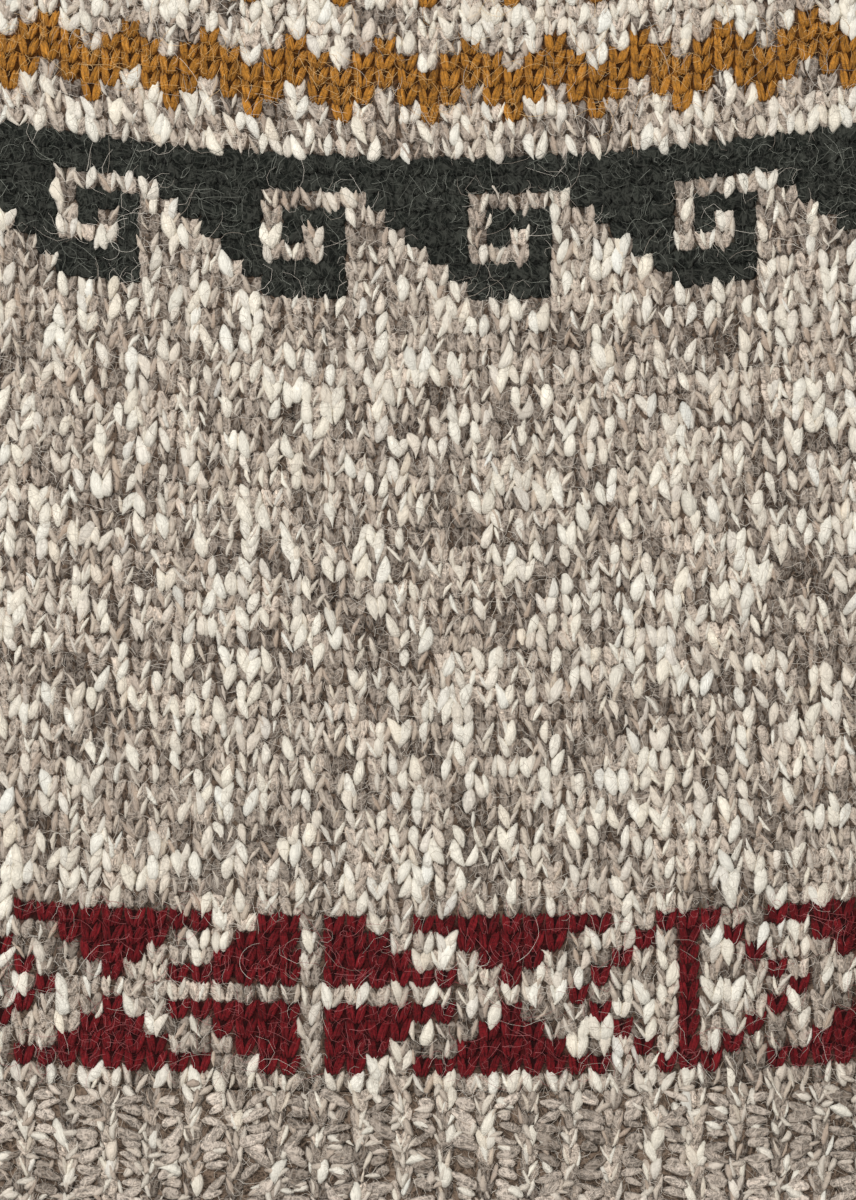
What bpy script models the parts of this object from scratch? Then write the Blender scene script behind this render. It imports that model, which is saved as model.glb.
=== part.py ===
"""A chunky knitted raglan sweater laid flat on its back, arms out to the sides.

Metres, +Z up. The origin is under the middle of the garment, on the surface it lies on. The neck points
along +Y, the front faces +Z, and the back panel lies flat at z = 0. Each piece is a wall of knitted
cloth with its own rows of points, and neighbouring pieces stay a hair apart at their seams.
"""

import math

import bpy
import bmesh
import numpy as np

# Cloth
WALL = 0.0040
LAYER_GAP = 0.0006
SEAM = 0.0004
EDGE_RADIUS = 0.0036
SEAM_RADIUS = 0.0006
FRONT_IN = WALL + LAYER_GAP
FRONT_OUT = FRONT_IN + WALL

# Heights below are measured from the hem at the middle of the front, this far below the origin
HEM_TO_ORIGIN = 0.320

# Body, half widths and heights
HEM_HALF = 0.240
UNDERARM = (0.255, 0.350)
RIB_HEIGHT = 0.070

# The rows of the body dip towards the middle: y = row + bend * x * x, and the bend grows upwards
BEND_AT_HEM = 0.10
BEND_GROWTH = 1.333

# Neck
NECK_SIDE = (0.095, 0.612)
FRONT_NECK_DROP = 0.082
BACK_NECK_DROP = 0.016
FRONT_RAGLAN_SHARE = 0.84
BACK_RAGLAN_SHARE = 0.72
BAND_SIDE = (0.083, 0.640)
FRONT_BAND_DROP = 0.080
BACK_BAND_DROP = 0.014

# Sleeve, measured along its outer fold from the row that passes the underarm
SLEEVE_TOP_WIDTH = 0.1907
SLEEVE_END_WIDTH = 0.110
CUFF_TOP_WIDTH = 0.101
CUFF_END_WIDTH = 0.096
SLEEVE_LENGTH = 0.385
CUFF_LENGTH = 0.065
SHOULDER_HEADING = 20.2
SLEEVE_BEND = 24.0
BEND_LENGTH = 0.280

# Ribs, one raised column and one hollow for each step
HEM_RIB_STEP = 0.0148
CUFF_RIB_STEP = 0.0140
NECK_RIB_STEP = 0.0120
RIB_RISE = 0.0014
NECK_BACK_RISE = 0.0007
NECK_BACK_PLAIN_RIBS = 3
RIB_POINTS = 4
RIB_FADE = 0.003

# Neckline lengths that the neckband's ribs are spread over, front and back
FRONT_NECK_LENGTH = 0.260
BACK_NECK_LENGTH = 0.190
BAND_HEIGHT = 0.030

# Points: across the panels and up them, below and above the underarm
FRONT_ACROSS = 26
FRONT_STEPS = (7, 9)
BACK_ACROSS = 14
BACK_STEPS = (4, 5)
SLEEVE_ACROSS = (14, 5)
SLEEVE_STEPS = (11, 6)
EDGE_ANGLES = (90.0, 60.0, 30.0)
TIP_SHARE = 0.02
FOLD_LINE_STEPS = 40

# Soft folds of the upper layer, laid by hand clear of the middle of the front
FOLD_COLUMNS = ("x", "y", "angle", "length", "width", "height")
FOLDS = (
    (0.214, 0.322, -38.0, 0.050, 0.0110, 0.0032),
    (0.206, 0.372, -24.0, 0.045, 0.0100, 0.0026),
    (0.212, 0.190, 82.0, 0.085, 0.0140, 0.0024),
    (0.330, 0.372, 34.0, 0.055, 0.0120, 0.0042),
    (0.378, 0.352, 22.0, 0.050, 0.0110, 0.0034),
    (0.470, 0.352, -64.0, 0.046, 0.0150, 0.0030),
    (0.562, 0.262, -20.0, 0.052, 0.0120, 0.0026),
    (-0.216, 0.318, -140.0, 0.052, 0.0115, 0.0030),
    (-0.203, 0.378, -158.0, 0.042, 0.0095, 0.0024),
    (-0.205, 0.160, 99.0, 0.078, 0.0150, 0.0026),
    (-0.324, 0.378, 148.0, 0.058, 0.0125, 0.0044),
    (-0.392, 0.340, 160.0, 0.046, 0.0110, 0.0030),
    (-0.486, 0.330, -112.0, 0.050, 0.0160, 0.0032),
    (-0.580, 0.258, -158.0, 0.044, 0.0120, 0.0024),
)

NATURAL = (0.423, 0.361, 0.305, 1.0)
RIB_TONE = (0.323, 0.258, 0.205, 1.0)


def wool(name, colour):
    """A rough, matt yarn finish."""
    finish = bpy.data.materials.new(name)
    finish.use_nodes = True
    shader = finish.node_tree.nodes["Principled BSDF"]
    shader.inputs["Base Color"].default_value = colour
    shader.inputs["Roughness"].default_value = 0.95
    shader.inputs["Metallic"].default_value = 0.0
    return finish


def fold_lift(x, y):
    """How far the folds lift the upper layer at a place in plan."""
    lift = 0.0
    for fold in FOLDS:
        at = dict(zip(FOLD_COLUMNS, fold))
        turn = math.radians(at["angle"])
        dx = x - at["x"]
        dy = y - at["y"]
        along = (dx * math.cos(turn) + dy * math.sin(turn)) / at["length"]
        across = (dy * math.cos(turn) - dx * math.sin(turn)) / at["width"]
        lift += at["height"] * math.exp(-along * along - across * across)
    return lift


def blend(a, b, share):
    """A point or number part of the way from a to b."""
    return tuple(p + (q - p) * share for p, q in zip(a, b))


def smooth_step(share):
    """An S shaped rise from 0 to 1."""
    t = min(max(share, 0.0), 1.0)
    return t * t * (3.0 - 2.0 * t)


def row_bend(row):
    """The bend of the row whose middle lies this far above the hem."""
    return BEND_AT_HEM + BEND_GROWTH * row


def underarm_row():
    """The middle height of the row that ends at the underarm."""
    x2 = UNDERARM[0] ** 2
    return (UNDERARM[1] - BEND_AT_HEM * x2) / (1.0 + BEND_GROWTH * x2)


def body_row(row, u):
    """A point of a row below the underarm, u from -1 at the left seam to 1 at the right."""
    share = row / underarm_row()
    x = u * (HEM_HALF + (UNDERARM[0] - HEM_HALF) * share)
    return (x, row + row_bend(row) * x * x)


def neck_point(side, drop, u):
    """A point of a scooped neckline, u from -1 at the left side to 1 at the right."""
    return (side[0] * u, side[1] - drop * (1.0 - u * u))


def raglan_point(share, neck_drop, raglan_share):
    """A point of a raglan seam, share 0 at the underarm and 1 at the neckline."""
    return blend(UNDERARM, neck_point(NECK_SIDE, neck_drop, raglan_share), share)


def yoke_row(share, u, neck_drop, raglan_share):
    """A point of a row between the raglan seams, share 0 at the underarm and 1 at the neckline."""
    at_underarm = body_row(underarm_row(), u)
    at_neck = neck_point(NECK_SIDE, neck_drop, raglan_share * u)
    return blend(at_underarm, at_neck, share)


def row_points(place, intervals, radius, stand_back):
    """Points across one row, with the drop of the outer surface towards both rounded ends.

    place(u) gives the plan point. The ends stand back from the seam, and three short steps follow
    the rounded edge.
    """
    ends = []
    for sign in (-1.0, 1.0):
        tip = np.array(place(sign))
        inner = np.array(place(sign * (1.0 - TIP_SHARE)))
        way = (inner - tip) / np.linalg.norm(inner - tip)
        size = np.linalg.norm(inner - tip) / TIP_SHARE
        ends.append((tip + way * stand_back, way, size))
    left, right = [], []
    for angle in EDGE_ANGLES:
        back = radius * (1.0 - math.sin(math.radians(angle)))
        drop = radius * (1.0 - math.cos(math.radians(angle)))
        left.append((tuple(ends[0][0] + ends[0][1] * back), drop))
        right.append((tuple(ends[1][0] + ends[1][1] * back), drop))
    first = -1.0 + (radius + stand_back) / ends[0][2]
    last = 1.0 - (radius + stand_back) / ends[1][2]
    middle = []
    for i in range(intervals + 1):
        u = first + (last - first) * i / intervals
        middle.append((tuple(place(u)), 0.0))
    return left + middle + right[::-1]


def close_wall(name, outer, inner, finish, upward=True):
    """A closed wall between two grids of points: outer faces away from the inner one."""
    rows = len(outer)
    columns = len(outer[0])
    mesh = bmesh.new()
    out, inn = (
        [[mesh.verts.new((x, y - HEM_TO_ORIGIN, z)) for x, y, z in row] for row in grid]
        for grid in (outer, inner)
    )
    for j in range(rows - 1):
        for i in range(columns - 1):
            mesh.faces.new((out[j][i], out[j][i + 1], out[j + 1][i + 1], out[j + 1][i]))
            mesh.faces.new((inn[j][i], inn[j + 1][i], inn[j + 1][i + 1], inn[j][i + 1]))
    for i in range(columns - 1):
        mesh.faces.new((inn[0][i], inn[0][i + 1], out[0][i + 1], out[0][i]))
        mesh.faces.new((out[-1][i], out[-1][i + 1], inn[-1][i + 1], inn[-1][i]))
    for j in range(rows - 1):
        mesh.faces.new((inn[j][0], out[j][0], out[j + 1][0], inn[j + 1][0]))
        mesh.faces.new((out[j][-1], inn[j][-1], inn[j + 1][-1], out[j + 1][-1]))
    bmesh.ops.triangulate(mesh, faces=mesh.faces[:])
    if not upward:
        bmesh.ops.reverse_faces(mesh, faces=mesh.faces[:])
    data = bpy.data.meshes.new(name)
    mesh.to_mesh(data)
    mesh.free()
    data.shade_smooth()
    data.set_sharp_from_angle(angle=math.radians(50.0))
    data.materials.append(finish)
    piece = bpy.data.objects.new(name, data)
    bpy.context.collection.objects.link(piece)
    return piece


def no_rise(i, j):
    """A plain surface."""
    return 0.0


def front_panel(name, rows, finish, rise=no_rise):
    """A wall of the upper layer: its outer side follows the folds and may carry ribs."""
    outer, inner = [], []
    for j, row in enumerate(rows):
        outer_row, inner_row = [], []
        for i, (at, drop) in enumerate(row):
            lift = fold_lift(*at)
            outer_row.append((at[0], at[1], FRONT_OUT + lift - drop + rise(i, j)))
            inner_row.append((at[0], at[1], FRONT_IN + lift))
        outer.append(outer_row)
        inner.append(inner_row)
    return close_wall(name, outer, inner, finish)


def back_panel(name, rows, finish, rise=no_rise):
    """A wall of the lower layer: its outer side rests flat at z = 0."""
    outer, inner = [], []
    for j, row in enumerate(rows):
        outer.append([(at[0], at[1], drop) for at, drop in row])
        inner.append([(at[0], at[1], WALL + rise(i, j)) for i, (at, drop) in enumerate(row)])
    return close_wall(name, outer, inner, finish, upward=False)


def rib_rise(count, height, rows, plain_ribs=0):
    """Ribs along a panel whose row has three edge points first: half of each step is raised.

    The first and last rows stay plain, so the ribs fade at the seam and at the free edge, and so do
    the plain_ribs at each end of the rows.
    """
    def rise(i, j):
        rib, step = divmod(i - len(EDGE_ANGLES), RIB_POINTS)
        if j in (0, rows - 1) or not plain_ribs <= rib < count - plain_ribs:
            return 0.0
        return height if 0 < step < RIB_POINTS - 1 else 0.0
    return rise


def rib_count(width, step):
    """How many whole ribs fit across a width."""
    return max(1, round(width / step))


def body_rows(low, high, steps, intervals):
    """Rows of the body between two heights, both ends rounded at the side seams."""
    rows = []
    for j in range(steps + 1):
        row = low + (high - low) * j / steps
        rows.append(row_points(lambda u, r=row: body_row(r, u), intervals, EDGE_RADIUS, SEAM / 2))
    return rows


def yoke_rows(steps, intervals, neck_drop, raglan_share):
    """Rows between the raglan seams, above the underarm."""
    rows = []
    for j in range(1, steps + 1):
        share = j / steps
        place = lambda u, s=share: yoke_row(s, u, neck_drop, raglan_share)
        rows.append(row_points(place, intervals, SEAM_RADIUS, SEAM / 2))
    return rows


def short_of_neckline(row):
    """The same row, lowered by half a seam."""
    return [((at[0], at[1] - SEAM / 2), drop) for at, drop in row]


def panel_rows(across, steps, neck_drop, raglan_share):
    """Rows of a whole panel, from the rib up to the neckline."""
    rows = body_rows(RIB_HEIGHT + SEAM / 2, underarm_row(), steps[0], across)
    rows += yoke_rows(steps[1], across, neck_drop, raglan_share)
    rows[-1] = short_of_neckline(rows[-1])
    return rows


def build_body(natural):
    """Front and back panels."""
    rows = panel_rows(FRONT_ACROSS, FRONT_STEPS, FRONT_NECK_DROP, FRONT_RAGLAN_SHARE)
    front_panel("front", rows, natural)
    rows = panel_rows(BACK_ACROSS, BACK_STEPS, BACK_NECK_DROP, BACK_RAGLAN_SHARE)
    back_panel("back", rows, natural)


def build_hem(rib):
    """The two halves of the hem rib."""
    top = RIB_HEIGHT - SEAM / 2
    count = rib_count(2 * HEM_HALF, HEM_RIB_STEP)
    rows = []
    for row in (0.0, RIB_FADE, top - RIB_FADE, top):
        place = lambda u, r=row: body_row(r, u)
        rows.append(row_points(place, count * RIB_POINTS, EDGE_RADIUS, SEAM / 2))
    front_panel("hem_rib_front", rows, rib, rib_rise(count, RIB_RISE, len(rows)))
    back_panel("hem_rib_back", body_rows(0.0, top, 2, BACK_ACROSS), rib)


def outer_fold(distance):
    """Place and heading, in degrees below level, on the sleeve's outer fold below the underarm row."""
    heading = SHOULDER_HEADING
    away = math.radians(heading)
    x = UNDERARM[0] + SLEEVE_TOP_WIDTH * math.sin(away)
    y = UNDERARM[1] + SLEEVE_TOP_WIDTH * math.cos(away)
    steps = FOLD_LINE_STEPS
    for k in range(steps):
        done = distance * (k + 0.5) / steps
        heading = SHOULDER_HEADING + SLEEVE_BEND * smooth_step(done / BEND_LENGTH)
        away = math.radians(heading)
        x += math.cos(away) * distance / steps
        y -= math.sin(away) * distance / steps
    return (x, y), SHOULDER_HEADING + SLEEVE_BEND * smooth_step(distance / BEND_LENGTH)


def straight_path(start, end):
    """The plan points of a straight row, for shares of its length."""
    return lambda t: np.array(blend(start, end, t))


def tube_row(distance, width):
    """Front and back paths, from the inner seam to the fold, of a row of the sleeve or cuff."""
    fold, heading = outer_fold(distance)
    away = math.radians(heading)
    seam = (fold[0] - width * math.sin(away), fold[1] - width * math.cos(away))
    return straight_path(seam, fold), straight_path(seam, fold)


def cap_path(share, neck_drop, raglan_share):
    """The plan points of a row of the raglan cap, which bends into the neckline as share nears 1."""
    start = raglan_point(share, neck_drop, raglan_share)
    fold = blend(outer_fold(0.0)[0], NECK_SIDE, share)
    ends = (neck_point(NECK_SIDE, neck_drop, raglan_share), NECK_SIDE)

    def place(t):
        arc = neck_point(NECK_SIDE, neck_drop, raglan_share + (1.0 - raglan_share) * t)
        chord = blend(ends[0], ends[1], t)
        level = blend(start, fold, t)
        return np.array([level[k] + (arc[k] - chord[k]) * share for k in (0, 1)])

    return place


def cap_row(share):
    """Front and back paths of a row of the raglan cap, share 1 at the neck."""
    front = cap_path(share, FRONT_NECK_DROP, FRONT_RAGLAN_SHARE)
    return front, cap_path(share, BACK_NECK_DROP, BACK_RAGLAN_SHARE)


def folded_row(paths, sign, radius, front_steps, back_steps, rib_height=0.0):
    """Outer and inner points of a row wrapped over the fold, from the front seam to the back seam."""
    outer, inner = [], []
    round_out = FRONT_OUT / 2
    round_in = LAYER_GAP / 2
    start = SEAM / 2 + radius

    def length(path):
        return np.linalg.norm(path(1.0) - path(0.0))

    def add(at, z_out, z_in, at_in=None):
        at_in = at if at_in is None else at_in
        outer.append((sign * at[0], at[1], z_out))
        inner.append((sign * at_in[0], at_in[1], z_in))

    path, width = paths[0], length(paths[0])
    for angle in EDGE_ANGLES:
        turn = math.radians(angle)
        at = path((SEAM / 2 + radius * (1.0 - math.sin(turn))) / width)
        lift = fold_lift(sign * at[0], at[1])
        add(at, FRONT_OUT + lift - radius * (1.0 - math.cos(turn)), FRONT_IN + lift)
    for i in range(front_steps):
        at = path((start + (width - round_out - start) * i / front_steps) / width)
        lift = fold_lift(sign * at[0], at[1])
        rise = rib_height if 0 < i % RIB_POINTS < RIB_POINTS - 1 else 0.0
        add(at, FRONT_OUT + lift + rise, FRONT_IN + lift)
    back, back_width = paths[1], length(paths[1])
    for k in range(7):
        turn = math.radians(90.0 - 30.0 * k)
        layer, size = (path, width) if k <= 3 else (back, back_width)
        at = layer(1.0 - round_out * (1.0 - math.cos(turn)) / size)
        at_in = layer(1.0 - (round_out - round_in * math.cos(turn)) / size)
        lift = fold_lift(sign * at[0], at[1]) * (1.0 + math.sin(turn)) / 2
        rise_out = round_out + round_out * math.sin(turn)
        rise_in = round_out + round_in * math.sin(turn)
        add(at, rise_out + lift, rise_in + lift, at_in)
    for i in range(back_steps - 1, -1, -1):
        at = back((start + (back_width - round_out - start) * i / back_steps) / back_width)
        add(at, 0.0, WALL)
    for angle in EDGE_ANGLES[::-1]:
        turn = math.radians(angle)
        at = back((SEAM / 2 + radius * (1.0 - math.sin(turn))) / back_width)
        add(at, radius * (1.0 - math.cos(turn)), WALL)
    return outer, inner


def build_sleeve(side, sign, natural, rib):
    """One raglan sleeve, a sheet folded over its outer edge and joined at its inner edge, and its cuff."""
    outer, inner = [], []
    rows = []
    tube_steps, cap_steps = SLEEVE_STEPS
    for j in range(tube_steps):
        share = 1.0 - j / tube_steps
        distance = SLEEVE_LENGTH * share - SEAM / 2
        width = SLEEVE_TOP_WIDTH + (SLEEVE_END_WIDTH - SLEEVE_TOP_WIDTH) * share
        rows.append((tube_row(distance, width), EDGE_RADIUS))
    neck_gap = SEAM / 2 / math.dist(outer_fold(0.0)[0], NECK_SIDE)
    for j in range(cap_steps + 1):
        share = j / cap_steps * (1.0 - neck_gap)
        rows.append((cap_row(share), SEAM_RADIUS))
    for paths, radius in rows:
        row_out, row_in = folded_row(paths, sign, radius, *SLEEVE_ACROSS)
        outer.append(row_out)
        inner.append(row_in)
    close_wall("sleeve_" + side, outer, inner, natural, upward=sign > 0)

    outer, inner = [], []
    count = rib_count(CUFF_TOP_WIDTH, CUFF_RIB_STEP)
    start = SLEEVE_LENGTH + SEAM / 2
    end = SLEEVE_LENGTH + CUFF_LENGTH
    for k, distance in enumerate((end, end - RIB_FADE, start + RIB_FADE, start)):
        share = (distance - SLEEVE_LENGTH) / CUFF_LENGTH
        width = CUFF_TOP_WIDTH + (CUFF_END_WIDTH - CUFF_TOP_WIDTH) * share
        height = RIB_RISE if k in (1, 2) else 0.0
        paths = tube_row(distance, width)
        across = (count * RIB_POINTS, SLEEVE_ACROSS[1])
        row_out, row_in = folded_row(paths, sign, EDGE_RADIUS, *across, height)
        outer.append(row_out)
        inner.append(row_in)
    close_wall("cuff_" + side, outer, inner, rib, upward=sign > 0)


def band_rows(drop, band_drop, heights, intervals):
    """Rows of half a neckband, from the neckline to its free edge."""
    rows = []
    for share in heights:
        side = blend(NECK_SIDE, BAND_SIDE, share)
        row_drop = drop + (band_drop - drop) * share
        place = lambda u, s=side, d=row_drop: neck_point(s, d, u)
        rows.append(row_points(place, intervals, EDGE_RADIUS, SEAM / 2))
    return rows


def build_neckband(rib):
    """The upper and lower halves of the ribbed neckband."""
    fade = RIB_FADE / BAND_HEIGHT
    heights = (SEAM / 2 / BAND_HEIGHT, fade, 1.0 - fade, 1.0)
    count = rib_count(FRONT_NECK_LENGTH, NECK_RIB_STEP)
    rows = band_rows(FRONT_NECK_DROP, FRONT_BAND_DROP, heights, count * RIB_POINTS)
    front_panel("neckband_front", rows, rib, rib_rise(count, RIB_RISE, len(rows)))
    count = rib_count(BACK_NECK_LENGTH, NECK_RIB_STEP)
    rows = band_rows(BACK_NECK_DROP, BACK_BAND_DROP, heights, count * RIB_POINTS)
    rise = rib_rise(count, NECK_BACK_RISE, len(rows), NECK_BACK_PLAIN_RIBS)
    back_panel("neckband_back", rows, rib, rise)


def build():
    """The whole garment."""
    for old in list(bpy.data.objects):
        bpy.data.objects.remove(old, do_unlink=True)
    natural = wool("natural_wool", NATURAL)
    rib = wool("rib_wool", RIB_TONE)
    build_body(natural)
    build_hem(rib)
    build_sleeve("right", 1.0, natural, rib)
    build_sleeve("left", -1.0, natural, rib)
    build_neckband(rib)


build()
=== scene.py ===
# %% [markdown]
# # A chunky hand-knit sweater, stitch by stitch
#
# The sweater lies flat on a pale table and the camera looks straight down at the patterned front.
# Every visible stitch is a small mesh form on top of a thin wall of cloth. A texture of stitches on
# a flat sheet would be quicker, but thick wool casts real shadows between its loops, and at this
# distance those shadows are most of the picture. The wall under the stitches is coloured in painted
# shade as well, which deepens them.

# %% Load the imported model as the frame
import math

import bpy
import numpy as np
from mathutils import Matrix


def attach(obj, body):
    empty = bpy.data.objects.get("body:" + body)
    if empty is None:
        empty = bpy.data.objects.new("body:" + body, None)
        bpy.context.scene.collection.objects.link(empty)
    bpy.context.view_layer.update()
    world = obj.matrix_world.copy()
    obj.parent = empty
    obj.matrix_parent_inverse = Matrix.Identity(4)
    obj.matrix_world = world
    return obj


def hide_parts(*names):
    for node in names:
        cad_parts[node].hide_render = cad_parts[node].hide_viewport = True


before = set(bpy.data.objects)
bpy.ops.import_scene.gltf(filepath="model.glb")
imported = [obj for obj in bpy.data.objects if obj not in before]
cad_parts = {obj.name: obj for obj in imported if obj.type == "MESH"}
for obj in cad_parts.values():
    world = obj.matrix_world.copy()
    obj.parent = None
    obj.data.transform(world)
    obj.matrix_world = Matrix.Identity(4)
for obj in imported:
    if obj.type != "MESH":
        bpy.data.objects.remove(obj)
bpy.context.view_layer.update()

# %% [markdown]
# ## The cut of the garment
#
# The cloth has to lie exactly on the solids, so this cell repeats the sizes of the cut: a straight
# body, raglan seams from the underarm to the neck, and sleeves folded flat over their outer edge.
# Heights are measured up from the hem at the middle of the front.

# %% Sizes of the cut, in metres
WALL = 0.0040
LAYER_GAP = 0.0006
SEAM = 0.0004
EDGE_RADIUS = 0.0036
FRONT_IN = WALL + LAYER_GAP
FRONT_OUT = FRONT_IN + WALL
HEM_TO_ORIGIN = 0.320
HEM_HALF = 0.240
UNDERARM = (0.255, 0.350)
RIB_HEIGHT = 0.070
BEND_AT_HEM = 0.10
BEND_GROWTH = 1.333
NECK_SIDE = (0.095, 0.612)
FRONT_NECK = {"drop": 0.082, "raglan": 0.84}
BACK_NECK = {"drop": 0.016, "raglan": 0.72}
BAND_SIDE = (0.083, 0.640)
FRONT_BAND_DROP = 0.080
BACK_BAND_DROP = 0.014
SLEEVE_TOP_WIDTH = 0.1907
SLEEVE_END_WIDTH = 0.110
CUFF_TOP_WIDTH = 0.101
CUFF_END_WIDTH = 0.096
SLEEVE_LENGTH = 0.385
CUFF_LENGTH = 0.065
SHOULDER_HEADING = 20.2
SLEEVE_BEND = 24.0
BEND_LENGTH = 0.280
RIB_RISE = 0.0014
SIDES = (("right", 1.0), ("left", -1.0))

# %% [markdown]
# ## Folds
#
# Cloth that is laid down by hand keeps a few soft ridges where the sleeves and sides turn. Each is
# one row of a short table: where it is, which way it runs, and how long, wide and high it is. They
# keep clear of the middle of the front, which the photograph shows smooth.

# %% Soft folds of the upper layer
FOLD_COLUMNS = ("x", "y", "angle", "length", "width", "height")
FOLDS = (
    (0.214, 0.322, -38.0, 0.050, 0.0110, 0.0032),
    (0.206, 0.372, -24.0, 0.045, 0.0100, 0.0026),
    (0.212, 0.190, 82.0, 0.085, 0.0140, 0.0024),
    (0.330, 0.372, 34.0, 0.055, 0.0120, 0.0042),
    (0.378, 0.352, 22.0, 0.050, 0.0110, 0.0034),
    (0.470, 0.352, -64.0, 0.046, 0.0150, 0.0030),
    (0.562, 0.262, -20.0, 0.052, 0.0120, 0.0026),
    (-0.216, 0.318, -140.0, 0.052, 0.0115, 0.0030),
    (-0.203, 0.378, -158.0, 0.042, 0.0095, 0.0024),
    (-0.205, 0.160, 99.0, 0.078, 0.0150, 0.0026),
    (-0.324, 0.378, 148.0, 0.058, 0.0125, 0.0044),
    (-0.392, 0.340, 160.0, 0.046, 0.0110, 0.0030),
    (-0.486, 0.330, -112.0, 0.050, 0.0160, 0.0032),
    (-0.580, 0.258, -158.0, 0.044, 0.0120, 0.0024),
)


def fold_lift(x, y):
    """How far the folds lift the upper layer at each place in plan."""
    lift = np.zeros(np.broadcast(x, y).shape)
    for fold in FOLDS:
        at = dict(zip(FOLD_COLUMNS, fold))
        turn = math.radians(at["angle"])
        dx = x - at["x"]
        dy = y - at["y"]
        along = (dx * math.cos(turn) + dy * math.sin(turn)) / at["length"]
        across = (dy * math.cos(turn) - dx * math.sin(turn)) / at["width"]
        lift += at["height"] * np.exp(-along**2 - across**2)
    return lift


def lay(x, y, z):
    """Points from their plan places and heights."""
    return np.stack(np.broadcast_arrays(x, y, z), axis=-1)


def edge_drop(distance):
    """How far a rounded cloth edge falls away at this distance from its seam."""
    back = np.clip(EDGE_RADIUS - distance, 0.0, EDGE_RADIUS)
    return EDGE_RADIUS - np.sqrt(EDGE_RADIUS**2 - back**2)


print(len(FOLDS), "soft folds")

# %% [markdown]
# ## Rows and wales
#
# Knitting is a grid: a column of stitches is a wale, a line of them is a row. In the photograph the
# rows bow down a little in the middle and the wales drift, because three bands are knitted at three
# tensions. So a stitch's place is a function of its wale and row numbers, and everything else in
# this file asks that function. Row 0 is the first above the hem rib, wale 0 the middle one.

# %% Where a stitch of the body lies
ROW = 0.00618
WALE = 0.0074
MOST_BEND = 0.57
# Each gauge is a row, the width of a wale there, and the place of the middle wale.
GAUGES = (
    (10, 0.00777, -0.00195),
    (44, 0.00720, -0.00396),
    (50, 0.00720, -0.00396),
    (56, 0.00738, -0.00720),
)
WANDER = {"wale": -8.0, "spread": 5.0, "shift": -0.0034, "from_row": 50.0, "to_row": 56.0}
TIGHT_FROM_ROW = 58.0
TIGHT_SHARE = 0.88


def smooth_step(share):
    """An S shaped rise from 0 to 1."""
    t = np.clip(share, 0.0, 1.0)
    return t * t * (3.0 - 2.0 * t)


def row_height(row):
    """Height of a row above row 0 at the middle. The yoke above the chest bands is knitted tighter."""
    return ROW * np.where(row < TIGHT_FROM_ROW, row, TIGHT_FROM_ROW + (row - TIGHT_FROM_ROW) * TIGHT_SHARE)


def body_plan(wale, row):
    """Plan place of a point of the body's knitting."""
    rows, widths, middles = np.array(GAUGES).T
    x = np.interp(row, rows, middles) + np.interp(row, rows, widths) * wale
    late = smooth_step((row - WANDER["from_row"]) / (WANDER["to_row"] - WANDER["from_row"]))
    x = x + WANDER["shift"] * late * np.exp(-((wale - WANDER["wale"]) / WANDER["spread"]) ** 2)
    middle = RIB_HEIGHT + row_height(row)
    bend = np.minimum(BEND_AT_HEM + BEND_GROWTH * middle, MOST_BEND)
    return x, middle + bend * x * x


def body_grid(x, y):
    """The wale and row numbers at a plan place of the body."""
    row = ((y - BEND_AT_HEM * x * x) / (1.0 + BEND_GROWTH * x * x) - RIB_HEIGHT) / ROW
    top = (y - MOST_BEND * x * x - RIB_HEIGHT) / ROW
    row = np.where(BEND_AT_HEM + BEND_GROWTH * (RIB_HEIGHT + ROW * row) < MOST_BEND, row, top)
    row = np.where(row < TIGHT_FROM_ROW, row, TIGHT_FROM_ROW + (row - TIGHT_FROM_ROW) / TIGHT_SHARE)
    rows, widths, middles = np.array(GAUGES).T
    return (x - np.interp(row, rows, middles)) / np.interp(row, rows, widths), row


def body_half(y):
    """Half the width of the body below the underarm."""
    return HEM_HALF + (UNDERARM[0] - HEM_HALF) * y / UNDERARM[1]


def open_room(x, y):
    """Distance inwards from the side seam, and plenty above the underarm, where the sleeve joins."""
    return np.where(y <= UNDERARM[1], body_half(y) - np.abs(x), 1.0)


def side_room(x, y, neck):
    """Distance inwards from the side seam, or from the raglan seam above the underarm."""
    end_x = NECK_SIDE[0] * neck["raglan"]
    end_y = NECK_SIDE[1] - neck["drop"] * (1.0 - neck["raglan"] ** 2)
    run = np.array((end_x - UNDERARM[0], end_y - UNDERARM[1]))
    run = run / np.linalg.norm(run)
    raglan = (np.abs(x) - UNDERARM[0]) * -run[1] + (y - UNDERARM[1]) * run[0]
    return np.where(y < UNDERARM[1], body_half(y) - np.abs(x), raglan)


def neck_room(x, y, neck):
    """Distance down from the neckline."""
    return NECK_SIDE[1] - neck["drop"] * (1.0 - (x / NECK_SIDE[0]) ** 2) - y


def front_surface(wale, row):
    """Points on the face of the front."""
    x, y = body_plan(wale, row)
    return lay(x, y, FRONT_OUT + fold_lift(x, y) - edge_drop(open_room(x, y)))


def back_surface(wale, row):
    """Points on the underside of the back, which rests on the table."""
    x, y = body_plan(wale, row)
    return lay(x, y, edge_drop(open_room(x, y)))


print("a stitch is", WALE * 1000, "by", ROW * 1000, "mm")

# %% [markdown]
# ## The sleeve as one surface
#
# A flat sleeve is a tube pressed down: its cloth runs over the front, round the outer fold and back
# underneath. Measuring across it along the cloth, from the fold, gives one smooth surface for both
# layers, so the stitches can run round the fold as they do on the real one. Above the underarm the
# rows swing to meet the raglan seam.

# %% Where a stitch of a sleeve lies
FOLD_RADIUS = FRONT_OUT / 2
FOLD_QUARTER = math.pi / 2 * FOLD_RADIUS
CAP_ROWS = (40.0, 83.0)
FOLD_STEPS = 226


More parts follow.
